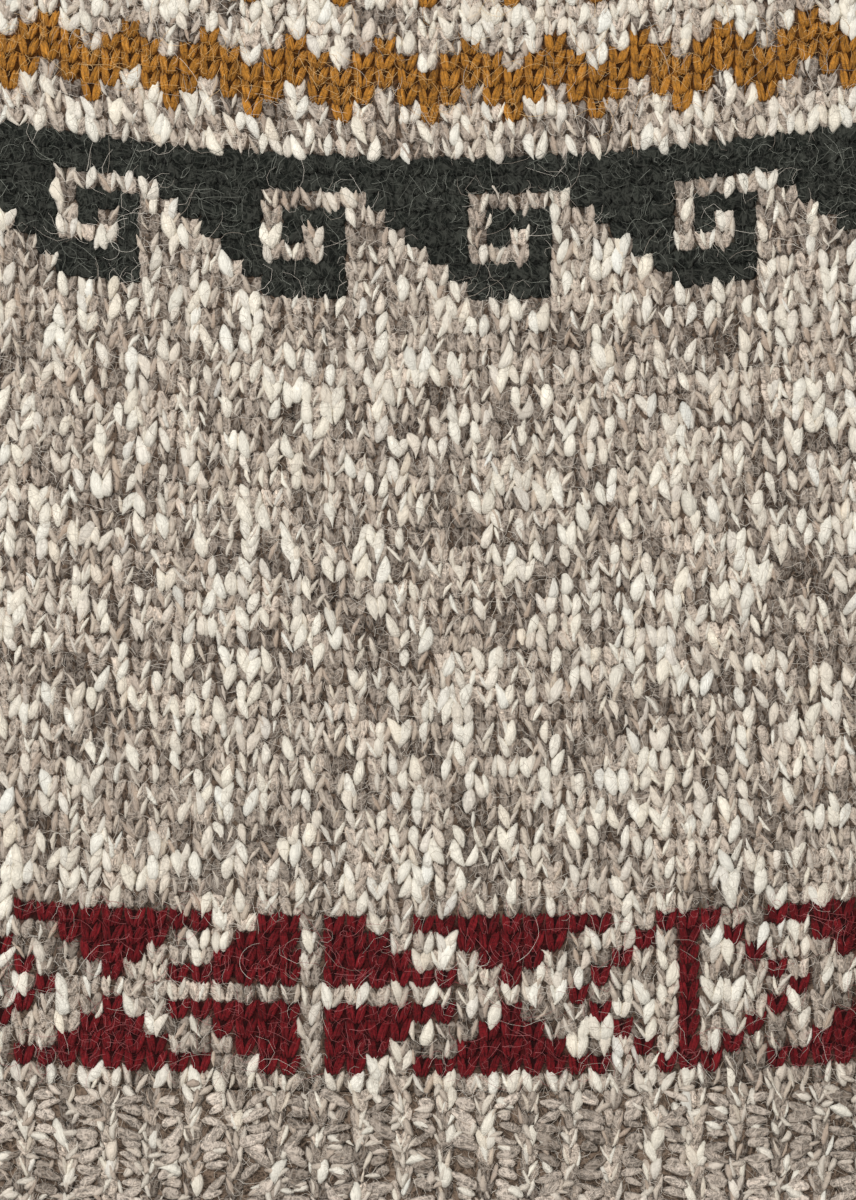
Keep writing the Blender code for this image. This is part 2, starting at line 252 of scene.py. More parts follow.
def fold_table():
    """Distance, plan place and heading along the outer fold of the right sleeve and cuff."""
    distance = np.linspace(0.0, SLEEVE_LENGTH + CUFF_LENGTH, FOLD_STEPS)
    heading = np.radians(SHOULDER_HEADING + SLEEVE_BEND * smooth_step(distance / BEND_LENGTH))
    middle = (heading[1:] + heading[:-1]) / 2
    step = np.diff(distance)
    x = UNDERARM[0] + SLEEVE_TOP_WIDTH * math.sin(heading[0])
    y = UNDERARM[1] + SLEEVE_TOP_WIDTH * math.cos(heading[0])
    x = x + np.concatenate(([0.0], np.cumsum(np.cos(middle) * step)))
    y = y - np.concatenate(([0.0], np.cumsum(np.sin(middle) * step)))
    return distance, x, y, heading


FOLD_TABLE = fold_table()
FOLD_TOP = np.array((FOLD_TABLE[1][0], FOLD_TABLE[2][0]))
CAP_LENGTH = math.dist(FOLD_TOP, NECK_SIDE)


def sleeve_width(distance):
    """Width of the flat sleeve or cuff, at a distance from the underarm row."""
    share = distance / SLEEVE_LENGTH
    sleeve = SLEEVE_TOP_WIDTH + (SLEEVE_END_WIDTH - SLEEVE_TOP_WIDTH) * share
    share = (distance - SLEEVE_LENGTH) / CUFF_LENGTH
    cuff = CUFF_TOP_WIDTH + (CUFF_END_WIDTH - CUFF_TOP_WIDTH) * share
    return np.where(distance <= SLEEVE_LENGTH, sleeve, cuff)


def raglan_end(share, neck):
    """Plan points of a raglan seam, share 0 at the underarm and 1 at the neck."""
    x = NECK_SIDE[0] * neck["raglan"]
    y = NECK_SIDE[1] - neck["drop"] * (1.0 - neck["raglan"] ** 2)
    return UNDERARM[0] + (x - UNDERARM[0]) * share, UNDERARM[1] + (y - UNDERARM[1]) * share


def sleeve_place(across, distance, side):
    """Points on the sleeve's face, and the room to its inner seam.

    across is measured along the cloth from the outer fold, above 0 on the upper layer. distance runs
    from the underarm row to the cuff, and below 0 up the cap to the neck.
    """
    across, distance = np.broadcast_arrays(across, distance)
    layer = np.where(across >= 0.0, 1.0, -1.0)
    angle = np.minimum(np.abs(across) / FOLD_RADIUS, math.pi / 2)
    inward = FOLD_RADIUS * (1.0 - np.cos(angle)) + np.maximum(np.abs(across) - FOLD_QUARTER, 0.0)
    z = FOLD_RADIUS * (1.0 + layer * np.sin(angle))

    table_distance, fold_x, fold_y, heading = FOLD_TABLE
    away = np.interp(distance, table_distance, heading)
    x = np.interp(distance, table_distance, fold_x)
    y = np.interp(distance, table_distance, fold_y)
    way_x, way_y, width = -np.sin(away), -np.cos(away), sleeve_width(distance)

    share = np.maximum(-distance / CAP_LENGTH, 0.0)
    cap = distance < 0.0
    front_x, front_y = raglan_end(share, FRONT_NECK)
    back_x, back_y = raglan_end(share, BACK_NECK)
    end_x = np.where(layer > 0.0, front_x, back_x)
    end_y = np.where(layer > 0.0, front_y, back_y)
    x = np.where(cap, FOLD_TOP[0] + (NECK_SIDE[0] - FOLD_TOP[0]) * share, x)
    y = np.where(cap, FOLD_TOP[1] + (NECK_SIDE[1] - FOLD_TOP[1]) * share, y)
    length = np.hypot(end_x - x, end_y - y)
    way_x = np.where(cap, (end_x - x) / length, way_x)
    way_y = np.where(cap, (end_y - y) / length, way_y)
    width = np.where(cap, length, width)

    x = side * (x + way_x * inward)
    y = y + way_y * inward
    z = z + fold_lift(x, y) * (1.0 + layer * np.sin(angle)) / 2
    room = width - inward
    z = z - layer * edge_drop(np.where(cap, 1.0, room))
    return lay(x, y, z), room


def sleeve_distance(row):
    """Distance from the underarm row of a sleeve row, numbered as the body's rows are."""
    first, last = CAP_ROWS
    cap = -(row - first) / (last - first) * CAP_LENGTH
    return np.where(row < first, (first - row) * ROW, cap)


def sleeve_surface(side):
    """The sleeve's face as a function of wale and row."""
    return lambda wale, row: sleeve_place(wale * WALE, sleeve_distance(row), side)[0]


print("the cap of a sleeve is", round(CAP_LENGTH, 3), "m along its fold")

# %% [markdown]
# ## The yarns
#
# The sweater has four yarns. The natural one is two plies twisted together: a cream ply that is now
# thick, now thin, and a thin grey-brown one. Mustard, green and red are even, dyed wools. Colours
# are written as the eye sees them, from 0 to 255, and turned into the linear values that light
# works in.

# %% Yarn colours


def seen(red, green, blue):
    """A colour as seen on a screen, in linear light."""
    share = np.array((red, green, blue)) / 255.0
    return np.where(share <= 0.04045, share / 12.92, ((share + 0.055) / 1.055) ** 2.4)


CREAM = seen(242, 236, 222)
OATMEAL = seen(216, 201, 186)
TAUPE = seen(197, 181, 165)
UMBER = seen(88, 74, 62)
# The two ground colours below are painted shade for the gaps between stitches, and partly the dark ply of
# the natural yarn.
SHADED_GROUND = seen(66, 55, 46)
RIB_SHADED_GROUND = seen(86, 73, 62)
MUSTARD = seen(171, 116, 46)
# The darker colour given with each dyed yarn is painted shade for the gaps between its stitches, not a
# darker dye.
MUSTARD_SHADE = seen(60, 34, 6)
GREEN = seen(27, 30, 26)
GREEN_SHADE = seen(20, 22, 18)
RED = seen(105, 22, 27)
RED_SHADE = seen(44, 9, 9)

NATURAL_YARN, RED_YARN, GREEN_YARN, MUSTARD_YARN = range(4)
# Per yarn, the colour of the gaps between stitches: painted shade, for the natural yarn partly its dark ply
# too.
GROUND_SHADES = np.array((SHADED_GROUND, RED_SHADE, GREEN_SHADE, MUSTARD_SHADE))
DYED = np.array((OATMEAL, RED, GREEN, MUSTARD))
print("cream in linear light", CREAM.round(3))

# %% [markdown]
# ## Wool as a material
#
# Wool is a mat of fibres finer than the stitches. One node group would do, but three things differ
# between yarns: how many stray fibres cross the surface, how light they are, and how strongly the
# strand itself is streaked. A fibre is drawn where a stretched noise passes through its middle
# value, which gives long thin wavering lines. Three such noises, turned to different headings, and
# one unstretched one for the crimped fibres make the crossing mat, over a fine mottle. The streaks
# follow each strand, so they read a strand coordinate that the mesh carries. The cell below only
# has the small helpers that make and join nodes.

# %% Helpers for nodes


def link(tree, source, target):
    """Joins two sockets."""
    tree.links.new(source, target)


def node(tree, kind, **settings):
    """A new node with its settings."""
    made = tree.nodes.new(kind)
    for name, value in settings.items():
        setattr(made, name, value)
    return made


def calculate(tree, operation, first, second):
    """A math node on sockets or numbers."""
    made = node(tree, "ShaderNodeMath", operation=operation)
    for socket, value in zip(made.inputs, (first, second)):
        if isinstance(value, (int, float)):
            socket.default_value = value
        else:
            link(tree, value, socket)
    return made.outputs[0]


def noise_at(tree, place, scale, detail, socket="Fac"):
    """One socket of a noise texture read at a place."""
    made = node(tree, "ShaderNodeTexNoise", noise_dimensions="3D")
    made.inputs["Scale"].default_value = scale
    made.inputs["Detail"].default_value = detail
    link(tree, place, made.inputs["Vector"])
    return made.outputs[socket]


def off_middle(tree, noise):
    """How far a noise is from its middle value."""
    return calculate(tree, "ABSOLUTE", calculate(tree, "SUBTRACT", noise, 0.5), 0.0)


def remap(tree, value, low, high, to_low, to_high, **settings):
    """A value between two limits, moved to two others."""
    made = node(tree, "ShaderNodeMapRange", **settings)
    limits = {"From Min": low, "From Max": high, "To Min": to_low, "To Max": to_high}
    for name, limit in limits.items():
        made.inputs[name].default_value = limit
    link(tree, value, made.inputs["Value"])
    return made.outputs[0]


# %% [markdown]
# ## The mat of fibres and the wool itself
#
# Each wool is a row of the table below. A row says how light the stray fibres are beside the yarn and
# how much lighter still, how much of the surface they cover, how strong the streaks and the mottle
# are, how deep the relief is, and how much sheen there is. A table is easier to tune than seven
# materials, because the yarns can be compared at a glance.

# %% Wool material
FIBRE_HEADINGS = (66.0, -71.0, 12.0)
FIBRE_SPACING, FIBRE_REACH, FIBRE_EDGE = 0.0021, 0.0085, 0.065
CURL_SCALE, CURL_REACH = 160.0, 0.006
CRIMP_SCALE, CRIMP_EDGE = 560.0, 0.060
MOTTLE_SCALE = 700.0
ROUGHNESS, GLOSS, SHEEN_SPREAD = 0.92, 0.12, 0.45
BUMP_HEIGHT = 0.0004
FIBRE_TINT = np.array((1.0, 0.91, 0.81))


def fibre_lines(tree, place, heading):
    """Thin wavering lines along a heading: 1 on a fibre and 0 between fibres."""
    turn = node(tree, "ShaderNodeMapping", vector_type="POINT")
    turn.inputs["Rotation"].default_value = (0.0, 0.0, math.radians(heading))
    link(tree, place, turn.inputs["Vector"])
    stretch = node(tree, "ShaderNodeMapping", vector_type="POINT")
    stretch.inputs["Scale"].default_value = (1.0 / FIBRE_REACH, 1.0 / FIBRE_SPACING, 1.0 / FIBRE_REACH)
    link(tree, turn.outputs[0], stretch.inputs["Vector"])
    off = off_middle(tree, noise_at(tree, stretch.outputs[0], 1.0, 1.0))
    return remap(tree, off, FIBRE_EDGE, 0.0, 0.0, 1.0, interpolation_type="SMOOTHSTEP")


def wool(name, fibre, lift, cover, streak, mottling, relief, sheen):
    """A matt wool. Stray fibres are fibre times as light as the yarn, plus lift, and cover a share of it."""
    finish = bpy.data.materials.new(name)
    finish.use_nodes = True
    tree = finish.node_tree
    shader = tree.nodes["Principled BSDF"]
    shader.inputs["Roughness"].default_value = ROUGHNESS
    shader.inputs["Specular IOR Level"].default_value = GLOSS
    shader.inputs["Sheen Weight"].default_value = sheen
    shader.inputs["Sheen Roughness"].default_value = SHEEN_SPREAD

    tone = node(tree, "ShaderNodeAttribute", attribute_name="tone")
    strand = node(tree, "ShaderNodeAttribute", attribute_name="strand")
    place = node(tree, "ShaderNodeTexCoord")
    lining = noise_at(tree, strand.outputs["Vector"], 1.0, 1.0)
    lined = remap(tree, lining, 0.3, 0.7, 1.0 - streak, 1.0 + streak * 0.6)
    mottle = noise_at(tree, place.outputs["Object"], MOTTLE_SCALE, 1.0)
    mottled = remap(tree, mottle, 0.32, 0.68, 1.0 - mottling, 1.0 + mottling * 0.6)
    body = node(tree, "ShaderNodeVectorMath", operation="SCALE")
    link(tree, tone.outputs["Color"], body.inputs[0])
    link(tree, calculate(tree, "MULTIPLY", lined, mottled), body.inputs["Scale"])

    bent = node(tree, "ShaderNodeVectorMath", operation="MULTIPLY_ADD")
    bent.inputs[1].default_value = (CURL_REACH, CURL_REACH, CURL_REACH)
    link(tree, noise_at(tree, place.outputs["Object"], CURL_SCALE, 0.0, "Color"), bent.inputs[0])
    link(tree, place.outputs["Object"], bent.inputs[2])
    crimp = off_middle(tree, noise_at(tree, place.outputs["Object"], CRIMP_SCALE, 0.0))
    mat = remap(tree, crimp, 0.0, CRIMP_EDGE, 1.0, 0.0)
    for heading in FIBRE_HEADINGS:
        mat = calculate(tree, "MAXIMUM", mat, fibre_lines(tree, bent.outputs[0], heading))
    shown = calculate(tree, "MULTIPLY", mat, cover)

    stray = node(tree, "ShaderNodeVectorMath", operation="MULTIPLY_ADD")
    stray.inputs[1].default_value = (fibre, fibre, fibre)
    stray.inputs[2].default_value = lift * FIBRE_TINT
    link(tree, tone.outputs["Color"], stray.inputs[0])
    mixed = node(tree, "ShaderNodeMix", data_type="RGBA")
    link(tree, shown, mixed.inputs[0])
    link(tree, body.outputs[0], mixed.inputs[6])
    link(tree, stray.outputs[0], mixed.inputs[7])
    link(tree, mixed.outputs[2], shader.inputs["Base Color"])

    height = calculate(tree, "ADD", mat, calculate(tree, "ADD", lining, mottled))
    bump = node(tree, "ShaderNodeBump")
    bump.inputs["Strength"].default_value = relief
    bump.inputs["Distance"].default_value = BUMP_HEIGHT
    link(tree, height, bump.inputs["Height"])
    link(tree, bump.outputs[0], shader.inputs["Normal"])
    return finish


WOOL_COLUMNS = ("name", "fibre", "lift", "cover", "streak", "mottling", "relief", "sheen")
WOOL_TABLE = {
    "cream_ply": ("cream_ply", 0.78, 0.0, 0.30, 0.14, 0.06, 0.50, 0.12),
    "taupe_ply": ("taupe_ply", 0.95, 0.19, 0.80, 0.60, 0.50, 0.90, 0.06),
    "ground": ("cloth_ground", 3.2, 0.0, 0.70, 0.50, 0.50, 0.80, 0.03),
    "mustard": ("mustard_wool", 1.30, 0.0, 0.40, 0.50, 0.20, 0.90, 0.06),
    "green": ("felted_green_wool", 2.4, 0.03, 0.75, 0.40, 0.55, 1.00, 0.01),
    "red": ("red_wool", 1.5, 0.005, 0.40, 0.50, 0.25, 0.90, 0.03),
    "loose": ("loose_fibre", 1.0, 0.0, 0.10, 0.10, 0.05, 0.10, 0.15),
}
WOOLS = {kind: wool(**dict(zip(WOOL_COLUMNS, row))) for kind, row in WOOL_TABLE.items()}
print(len(WOOLS), "wools")

# %% [markdown]
# ## From arrays to a mesh
#
# A sweater has tens of thousands of stitches, too many for one object each, so numpy works out all
# the points of a piece at once and they go into one mesh. The mesh also carries a colour and a
# strand coordinate on every point for the wool material to read.


def make_piece(name, points, faces, tone, strand, finish, slot, body="root"):
    """A smooth mesh object of the garment. Points are in garment heights, so they move to the frame."""
    mesh = bpy.data.meshes.new(name)
    points = np.asarray(points, dtype=np.float64).reshape(-1, 3) - (0.0, HEM_TO_ORIGIN, 0.0)
    faces = np.asarray(faces, dtype=np.int32)
    corners = faces.shape[1]
    mesh.vertices.add(len(points))
    mesh.vertices.foreach_set("co", points.astype(np.float32).ravel())
    mesh.loops.add(faces.size)
    mesh.loops.foreach_set("vertex_index", faces.ravel())
    mesh.polygons.add(len(faces))
    mesh.polygons.foreach_set("loop_start", np.arange(len(faces), dtype=np.int32) * corners)
    mesh.update(calc_edges=True)
    colour = np.ones((len(points), 4), dtype=np.float32)
    colour[:, :3] = np.asarray(tone).reshape(-1, 3)
    mesh.attributes.new("tone", "FLOAT_COLOR", "POINT").data.foreach_set("color", colour.ravel())
    ways = np.asarray(strand, dtype=np.float32).reshape(-1, 3)
    mesh.attributes.new("strand", "FLOAT_VECTOR", "POINT").data.foreach_set("vector", ways.ravel())
    mesh.shade_smooth()
    mesh.materials.append(WOOLS[finish])
    piece = bpy.data.objects.new(name, mesh)
    bpy.context.collection.objects.link(piece)
    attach(piece, body)
    return piece


def face_normals(points):
    """Unit normals of a grid of points, from its rows and columns."""
    along = np.gradient(points, axis=0)
    across = np.gradient(points, axis=1)
    normal = np.cross(across, along)
    return normal / np.linalg.norm(normal, axis=-1, keepdims=True)


# %% [markdown]
# ## Walls of cloth
#
# Under the stitches lies a thin closed wall for each knitted piece. It stops light from shining
# through the gaps, gives the inside of the garment its surface, and is the sheet of cloth whose
# flat area is worked out below. It could be a plane with a Solidify modifier, but at a rounded seam
# that pinches, so both sides are laid out here, a little inside the solid they stand for.

# %% A closed wall from a grid of points
TOP_WALL = {"thickness": WALL - 0.0017, "sink": 0.0014}
UNDER_WALL = {"thickness": WALL - 0.0008, "sink": 0.0006}
# The inner side of a wall has less painted shade than the gaps on its outer side: at least this light.
INSIDE_TONE = SHADED_GROUND * 1.4
STRAND_SCALE = 900.0


def cloth_wall(name, face, outward, tone, slot, thickness, sink):
    """A closed wall below a grid of points on the cloth's face, and the area of that grid."""
    rows, columns = face.shape[:2]
    normal = face_normals(face) * outward
    outer = face - normal * sink
    inner = face - normal * (sink + thickness)
    index = np.arange(rows * columns).reshape(rows, columns)
    quads = np.stack((index[:-1, :-1], index[:-1, 1:], index[1:, 1:], index[1:, :-1]), axis=-1)
    quads = quads.reshape(-1, 4)
    below = quads[:, ::-1] + rows * columns
    rim = np.concatenate((index[0], index[1:, -1], index[-1, -2::-1], index[-2:0:-1, 0]))
    after = np.roll(rim, -1)
    sides = np.stack((after, rim, rim + rows * columns, after + rows * columns), axis=-1)
    faces = np.concatenate((quads, below, sides))
    if outward < 0:
        faces = faces[:, ::-1]
    points = np.concatenate((outer.reshape(-1, 3), inner.reshape(-1, 3)))
    # Painted shade: the outer side takes the dark colour of the gaps, the inner side at least INSIDE_TONE.
    tones = np.concatenate((tone.reshape(-1, 3), np.maximum(tone, INSIDE_TONE).reshape(-1, 3)))
    piece = make_piece(name, points, faces, tones, points * STRAND_SCALE, "ground", slot)
    edge_a = np.linalg.norm(np.diff(face, axis=1), axis=-1)
    edge_b = np.linalg.norm(np.diff(face, axis=0), axis=-1)
    area = float(np.sum((edge_a[1:] + edge_a[:-1]) / 2 * (edge_b[:, 1:] + edge_b[:, :-1]) / 2))
    return piece, area


def across_shares(count, width):
    """Places across a piece from -1 to 1, closer together at the rounded edges."""
    bands = np.array((0.0, 0.12, 0.35, 0.65, 1.0)) * EDGE_RADIUS / (width / 2)
    middle = np.linspace(-1.0 + bands[-1], 1.0 - bands[-1], count)
    return np.concatenate((-1.0 + bands[:-1], middle, (1.0 - bands[:-1])[::-1]))


def panel_plan(neck, low, across, below, above):
    """Plan points of a body panel from a row near the rib up to the neckline."""
    x2 = UNDERARM[0] ** 2
    top_row = (UNDERARM[1] - BEND_AT_HEM * x2) / (1.0 + BEND_GROWTH * x2)
    u = across_shares(across, 2 * HEM_HALF)
    rows = np.linspace(low, top_row, below)[:, None]
    x = u * (HEM_HALF + (UNDERARM[0] - HEM_HALF) * rows / top_row - SEAM / 2)
    y = rows + (BEND_AT_HEM + BEND_GROWTH * rows) * x * x
    share = np.linspace(0.0, 1.0, above)[1:, None]
    neck_x = NECK_SIDE[0] * neck["raglan"] * u
    neck_y = NECK_SIDE[1] - neck["drop"] * (1.0 - (neck["raglan"] * u) ** 2) - SEAM / 2
    x = np.concatenate((x, x[-1] + (neck_x - x[-1]) * share))
    y = np.concatenate((y, y[-1] + (neck_y - y[-1]) * share))
    return x, y


# %% [markdown]
# ## The charts
#
# A knitter reads colourwork from a chart, one square a stitch. These three are common traditional
# ones and were charted: a band of diamonds and hourglasses above the hem, a running wave below the
# chest line, and two zigzags over it. The red chart is the same mirrored both ways, so a quarter of
# it is enough.

# %% Colourwork charts
RED_CHART = (
    "............R....R",
    ".RRRRRR..R...R...R",
    ".RRRR...RRR...R..R",
    ".RRR...RRRRR...R.R",
    ".RR..RRRRRRRRR..RR",
)
RED_MIDDLE_ROW = 5
RED_REPEAT = 34
RED_START = -5
GREEN_CHART = (
    "GGGG......",
    "GGGG.....G",
    "...G....GG",
    ".G.G...GGG",
    ".GGG..GGGG",
    ".....GGGGG",
    "GGGGGGGGGG",
    "GGGGGGGGGG",
)
GREEN_FIRST_ROW = 45
GREEN_START = 3
MUSTARD_HEIGHTS = (1, 0, 1, 2)
MUSTARD_FIRST_ROWS = (55, 62)
MUSTARD_ROWS = 3


def chart_squares(chart):
    """A chart as an array that is true where the dyed yarn is."""
    return np.array([[square != "." for square in line] for line in chart])


def yarn_of(wale, row, with_red=True):
    """Which yarn each stitch is knitted in."""
    wale = np.asarray(wale)
    row = np.asarray(row)
    yarn = np.full(np.broadcast(wale, row).shape, NATURAL_YARN)
    if with_red:
        squares = chart_squares(RED_CHART)
        turn = (wale - RED_START) % RED_REPEAT
        column = np.minimum(turn, RED_REPEAT - turn)
        line = np.abs(row - RED_MIDDLE_ROW)
        within = line < len(squares)
        yarn[within & squares[np.minimum(line, len(squares) - 1), column]] = RED_YARN
    squares = chart_squares(GREEN_CHART)
    line = row - GREEN_FIRST_ROW
    within = (line >= 0) & (line < len(squares))
    column = (wale - GREEN_START) % squares.shape[1]
    yarn[within & squares[np.clip(line, 0, len(squares) - 1), column]] = GREEN_YARN
    for first_row in MUSTARD_FIRST_ROWS:
        base = first_row + np.array(MUSTARD_HEIGHTS)[wale % len(MUSTARD_HEIGHTS)]
        yarn[(row >= base) & (row < base + MUSTARD_ROWS)] = MUSTARD_YARN
    return yarn


EDGE_REACH = 0.010
EDGE_SHARE = 0.28


def with_edge(tone, bare_tone, room):
    """A wall's tone, painted shade under the stitches, which lightens towards an edge where no stitch
    covers it, up to a share of the yarn's bare tone.
    """
    bare = (1.0 - smooth_step(room / EDGE_REACH))[..., None]
    return tone + np.maximum(bare_tone * EDGE_SHARE - tone, 0.0) * bare


def shaded_ground_tone(wale, row, room, with_red=True):
    """Colour of the cloth under the stitches, painted as the shade in the gaps, at some distance from its
    open edge.
    """
    yarn = yarn_of(np.rint(wale).astype(int), np.floor(row).astype(int), with_red)
    return with_edge(GROUND_SHADES[yarn], DYED[yarn], room)


repeat = yarn_of(np.arange(RED_REPEAT)[:, None], np.arange(1, 10))
print("red stitches in a repeat:", int(np.sum(repeat == RED_YARN)))

# %% [markdown]
# ## Front and back walls
#
# The front follows the folds and rounds off at the side seams. The back is flat underneath, where
# it rests on the table. Both go from the top of the hem rib to the neckline and the raglan seams.

# %% Front and back
FRONT_WALL = {"across": 84, "below": 44, "above": 42}
BACK_WALL = {"across": 50, "below": 26, "above": 26}
SHEETS = []

x, y = panel_plan(FRONT_NECK, RIB_HEIGHT + SEAM / 2, **FRONT_WALL)
room = open_room(x, y)
face = lay(x, y, FRONT_OUT + fold_lift(x, y) - edge_drop(room))
tone = shaded_ground_tone(*body_grid(x, y), room)
piece, area = cloth_wall("front_cloth", face, 1, tone, "marled_wool", **TOP_WALL)
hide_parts("front")
SHEETS.append((piece, (2 * UNDERARM[0], NECK_SIDE[1] - RIB_HEIGHT), area, "laid", ["back"]))

x, y = panel_plan(BACK_NECK, RIB_HEIGHT + SEAM / 2, **BACK_WALL)
room = open_room(x, y)
face = lay(x, y, edge_drop(room))
tone = shaded_ground_tone(*body_grid(x, y), room)
piece, area = cloth_wall("back_cloth", face, -1, tone, "marled_wool", **UNDER_WALL)
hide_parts("back")
SHEETS.append((piece, (2 * UNDERARM[0], NECK_SIDE[1] - RIB_HEIGHT), area, "laid", []))

# %% [markdown]
# ## Sleeve walls
#
# Each sleeve is one piece of cloth folded over its outer edge, so its wall runs from the front seam
# round the fold to the back seam in one grid. The cuffs are made the same way.

# %% Sleeves and cuffs
SLEEVE_ROWS = 76
CAP_START = 0.002
LAYER_POINTS = 30
CUFF_ROWS = 12
CUFF_RIBS = 7


def folded_shares(count):
    """Places across a layer from its seam (0) to the fold (1), close together at both ends."""
    return (1.0 - np.cos(np.linspace(0.0, math.pi, count))) / 2


def folded_grid(distances, side, layer_points):
    """Face points of a folded sheet, from the front seam round the fold to the back seam."""
    shares = folded_shares(layer_points)
    room = sleeve_place(np.array((1e-6, -1e-6)), distances[:, None], side)[1]
    front = (room[:, :1] - FOLD_RADIUS + FOLD_QUARTER - SEAM / 2) * (1.0 - shares)
    back = -(room[:, 1:] - FOLD_RADIUS + FOLD_QUARTER - SEAM / 2) * shares[1:]
    across = np.concatenate((front, back), axis=1)
    return sleeve_place(across, distances[:, None], side)[0], across


for side_name, side in SIDES:
    arm = np.linspace(SLEEVE_LENGTH - SEAM / 2, CAP_START, SLEEVE_ROWS * 5 // 8)
    cap = np.linspace(-CAP_START, -CAP_LENGTH + SEAM, SLEEVE_ROWS * 3 // 8)
    rows = np.concatenate((arm, cap))
    face, across = folded_grid(rows, side, LAYER_POINTS)
    first, last = CAP_ROWS
    body_row = np.where(rows > 0, first - rows / ROW, first - rows / CAP_LENGTH * (last - first))
    room = np.where(rows[:, None] > 0.0, sleeve_place(across, rows[:, None], side)[1], 1.0)
    tone = shaded_ground_tone(across / WALE, np.broadcast_to(body_row[:, None], across.shape), room, False)
    piece, area = cloth_wall("sleeve_cloth_" + side_name, face, side, tone, "marled_wool", **TOP_WALL)
    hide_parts("sleeve_" + side_name)
    size = (2 * SLEEVE_TOP_WIDTH, SLEEVE_LENGTH + CAP_LENGTH)
    SHEETS.append((piece, size, area, "folded", []))

    rows = np.linspace(SLEEVE_LENGTH + CUFF_LENGTH, SLEEVE_LENGTH + SEAM / 2 + 1e-5, CUFF_ROWS)
    face, across = folded_grid(rows, side, 4 * CUFF_RIBS)
    room = sleeve_place(across, rows[:, None], side)[1]
    room = np.minimum(room, SLEEVE_LENGTH + CUFF_LENGTH - rows[:, None])
    tone = with_edge(np.broadcast_to(RIB_SHADED_GROUND, face.shape), OATMEAL, room)
    piece, area = cloth_wall("cuff_cloth_" + side_name, face, side, tone, "rib_wool", **TOP_WALL)
    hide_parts("cuff_" + side_name)
    SHEETS.append((piece, (2 * CUFF_TOP_WIDTH, CUFF_LENGTH), area, "folded", []))

# %% [markdown]
# ## Ribbed edges
#
# The hem and neckband are knitted in single rib: a column of V stitches stands up beside a sunk
# column of purl bumps. The wall only has to carry the sunk level, because the V columns are built
# of stitches and stand above it.

# %% Hem and neckband walls
HEM_RIB = 0.014665
HEM_RIB_MIDDLE = -0.0090
HEM_WALL = {"across": 129, "rows": 9}
NECK_RIBS = 22
NECK_ROWS = 5
BAND_WALL = {"across": 89, "rows": 7}
BAND_START = 0.008
BAND_TRIM = 0.997
BAND_SLANT = 1.4
FRONT_BAND_CUT = (0.26, 0.032)
BACK_BAND_CUT = (0.20, 0.032)


def hem_plan(x, row):
    """Plan points of the hem rib, row 0 at its top and below 0 towards the edge."""
    middle = RIB_HEIGHT + ROW * row
    return x, middle + (BEND_AT_HEM + BEND_GROWTH * middle) * x * x


def rib_rise(column):
    """How far the columns of V's stand above the sunk ones."""
    return RIB_RISE * (0.5 + 0.5 * np.cos(2.0 * math.pi * column))


def hem_surface(column, row):
    """Points on the face of the hem rib, a step of 1 from one V column to the next."""
    x, y = hem_plan(HEM_RIB_MIDDLE + HEM_RIB * column, row)
    drop = edge_drop(body_half(y) - np.abs(x))
    return lay(x, y, FRONT_OUT + fold_lift(x, y) - drop + rib_rise(column))


def band_plan(u, share, drop, band_drop):
    """Plan points of half a neckband, share 0 at the neckline and 1 at its free edge."""
    side_x = NECK_SIDE[0] + (BAND_SIDE[0] - NECK_SIDE[0]) * share
    side_y = NECK_SIDE[1] + (BAND_SIDE[1] - NECK_SIDE[1]) * share
    return side_x * u, side_y - (drop + (band_drop - drop) * share) * (1.0 - u * u)


def band_surface(column, row):
    """Points on the face of the front neckband, its columns numbered from the middle."""
    x, y = band_plan(column * 2.0 / NECK_RIBS, row / NECK_ROWS, FRONT_NECK["drop"], FRONT_BAND_DROP)
    return lay(x, y, FRONT_OUT + fold_lift(x, y) + rib_rise(column))


u = across_shares(HEM_WALL["across"], 2 * HEM_HALF)
rows = np.linspace(-RIB_HEIGHT / ROW, -SEAM / 2 / ROW, HEM_WALL["rows"])[:, None]
x, y = hem_plan(u * (HEM_HALF - SEAM / 2), rows)
drop = edge_drop(HEM_HALF - np.abs(x))
rise = rib_rise((x - HEM_RIB_MIDDLE) / HEM_RIB)
face = lay(x, y, FRONT_OUT + fold_lift(x, y) - drop + rise)
room = np.minimum(HEM_HALF - np.abs(x), RIB_HEIGHT + ROW * rows)
tone = with_edge(np.broadcast_to(RIB_SHADED_GROUND, face.shape), OATMEAL, room)
piece, area = cloth_wall("hem_cloth_front", face, 1, tone, "rib_wool", **TOP_WALL)
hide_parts("hem_rib_front")
SHEETS.append((piece, (2 * HEM_HALF, RIB_HEIGHT), area, "laid", ["hem_rib_back"]))

face = lay(x, y, drop)
piece, area = cloth_wall("hem_cloth_back", face, -1, tone, "rib_wool", **UNDER_WALL)
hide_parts("hem_rib_back")
SHEETS.append((piece, (2 * HEM_HALF, RIB_HEIGHT), area, "laid", []))

u = across_shares(BAND_WALL["across"], 2 * NECK_SIDE[0])
share = np.linspace(BAND_START, 1.0, BAND_WALL["rows"])[:, None]
x, y = band_plan(u * BAND_TRIM, share, FRONT_NECK["drop"], FRONT_BAND_DROP)
drop = edge_drop((1.0 - np.abs(u)) * NECK_SIDE[0] * BAND_SLANT)
face = lay(x, y, FRONT_OUT + fold_lift(x, y) - drop + rib_rise(u * NECK_RIBS / 2))
tone = np.broadcast_to(RIB_SHADED_GROUND, face.shape)
piece, area = cloth_wall("neckband_cloth_front", face, 1, tone, "rib_wool", **TOP_WALL)
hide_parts("neckband_front")
SHEETS.append((piece, FRONT_BAND_CUT, area, "laid", ["neckband_back"]))

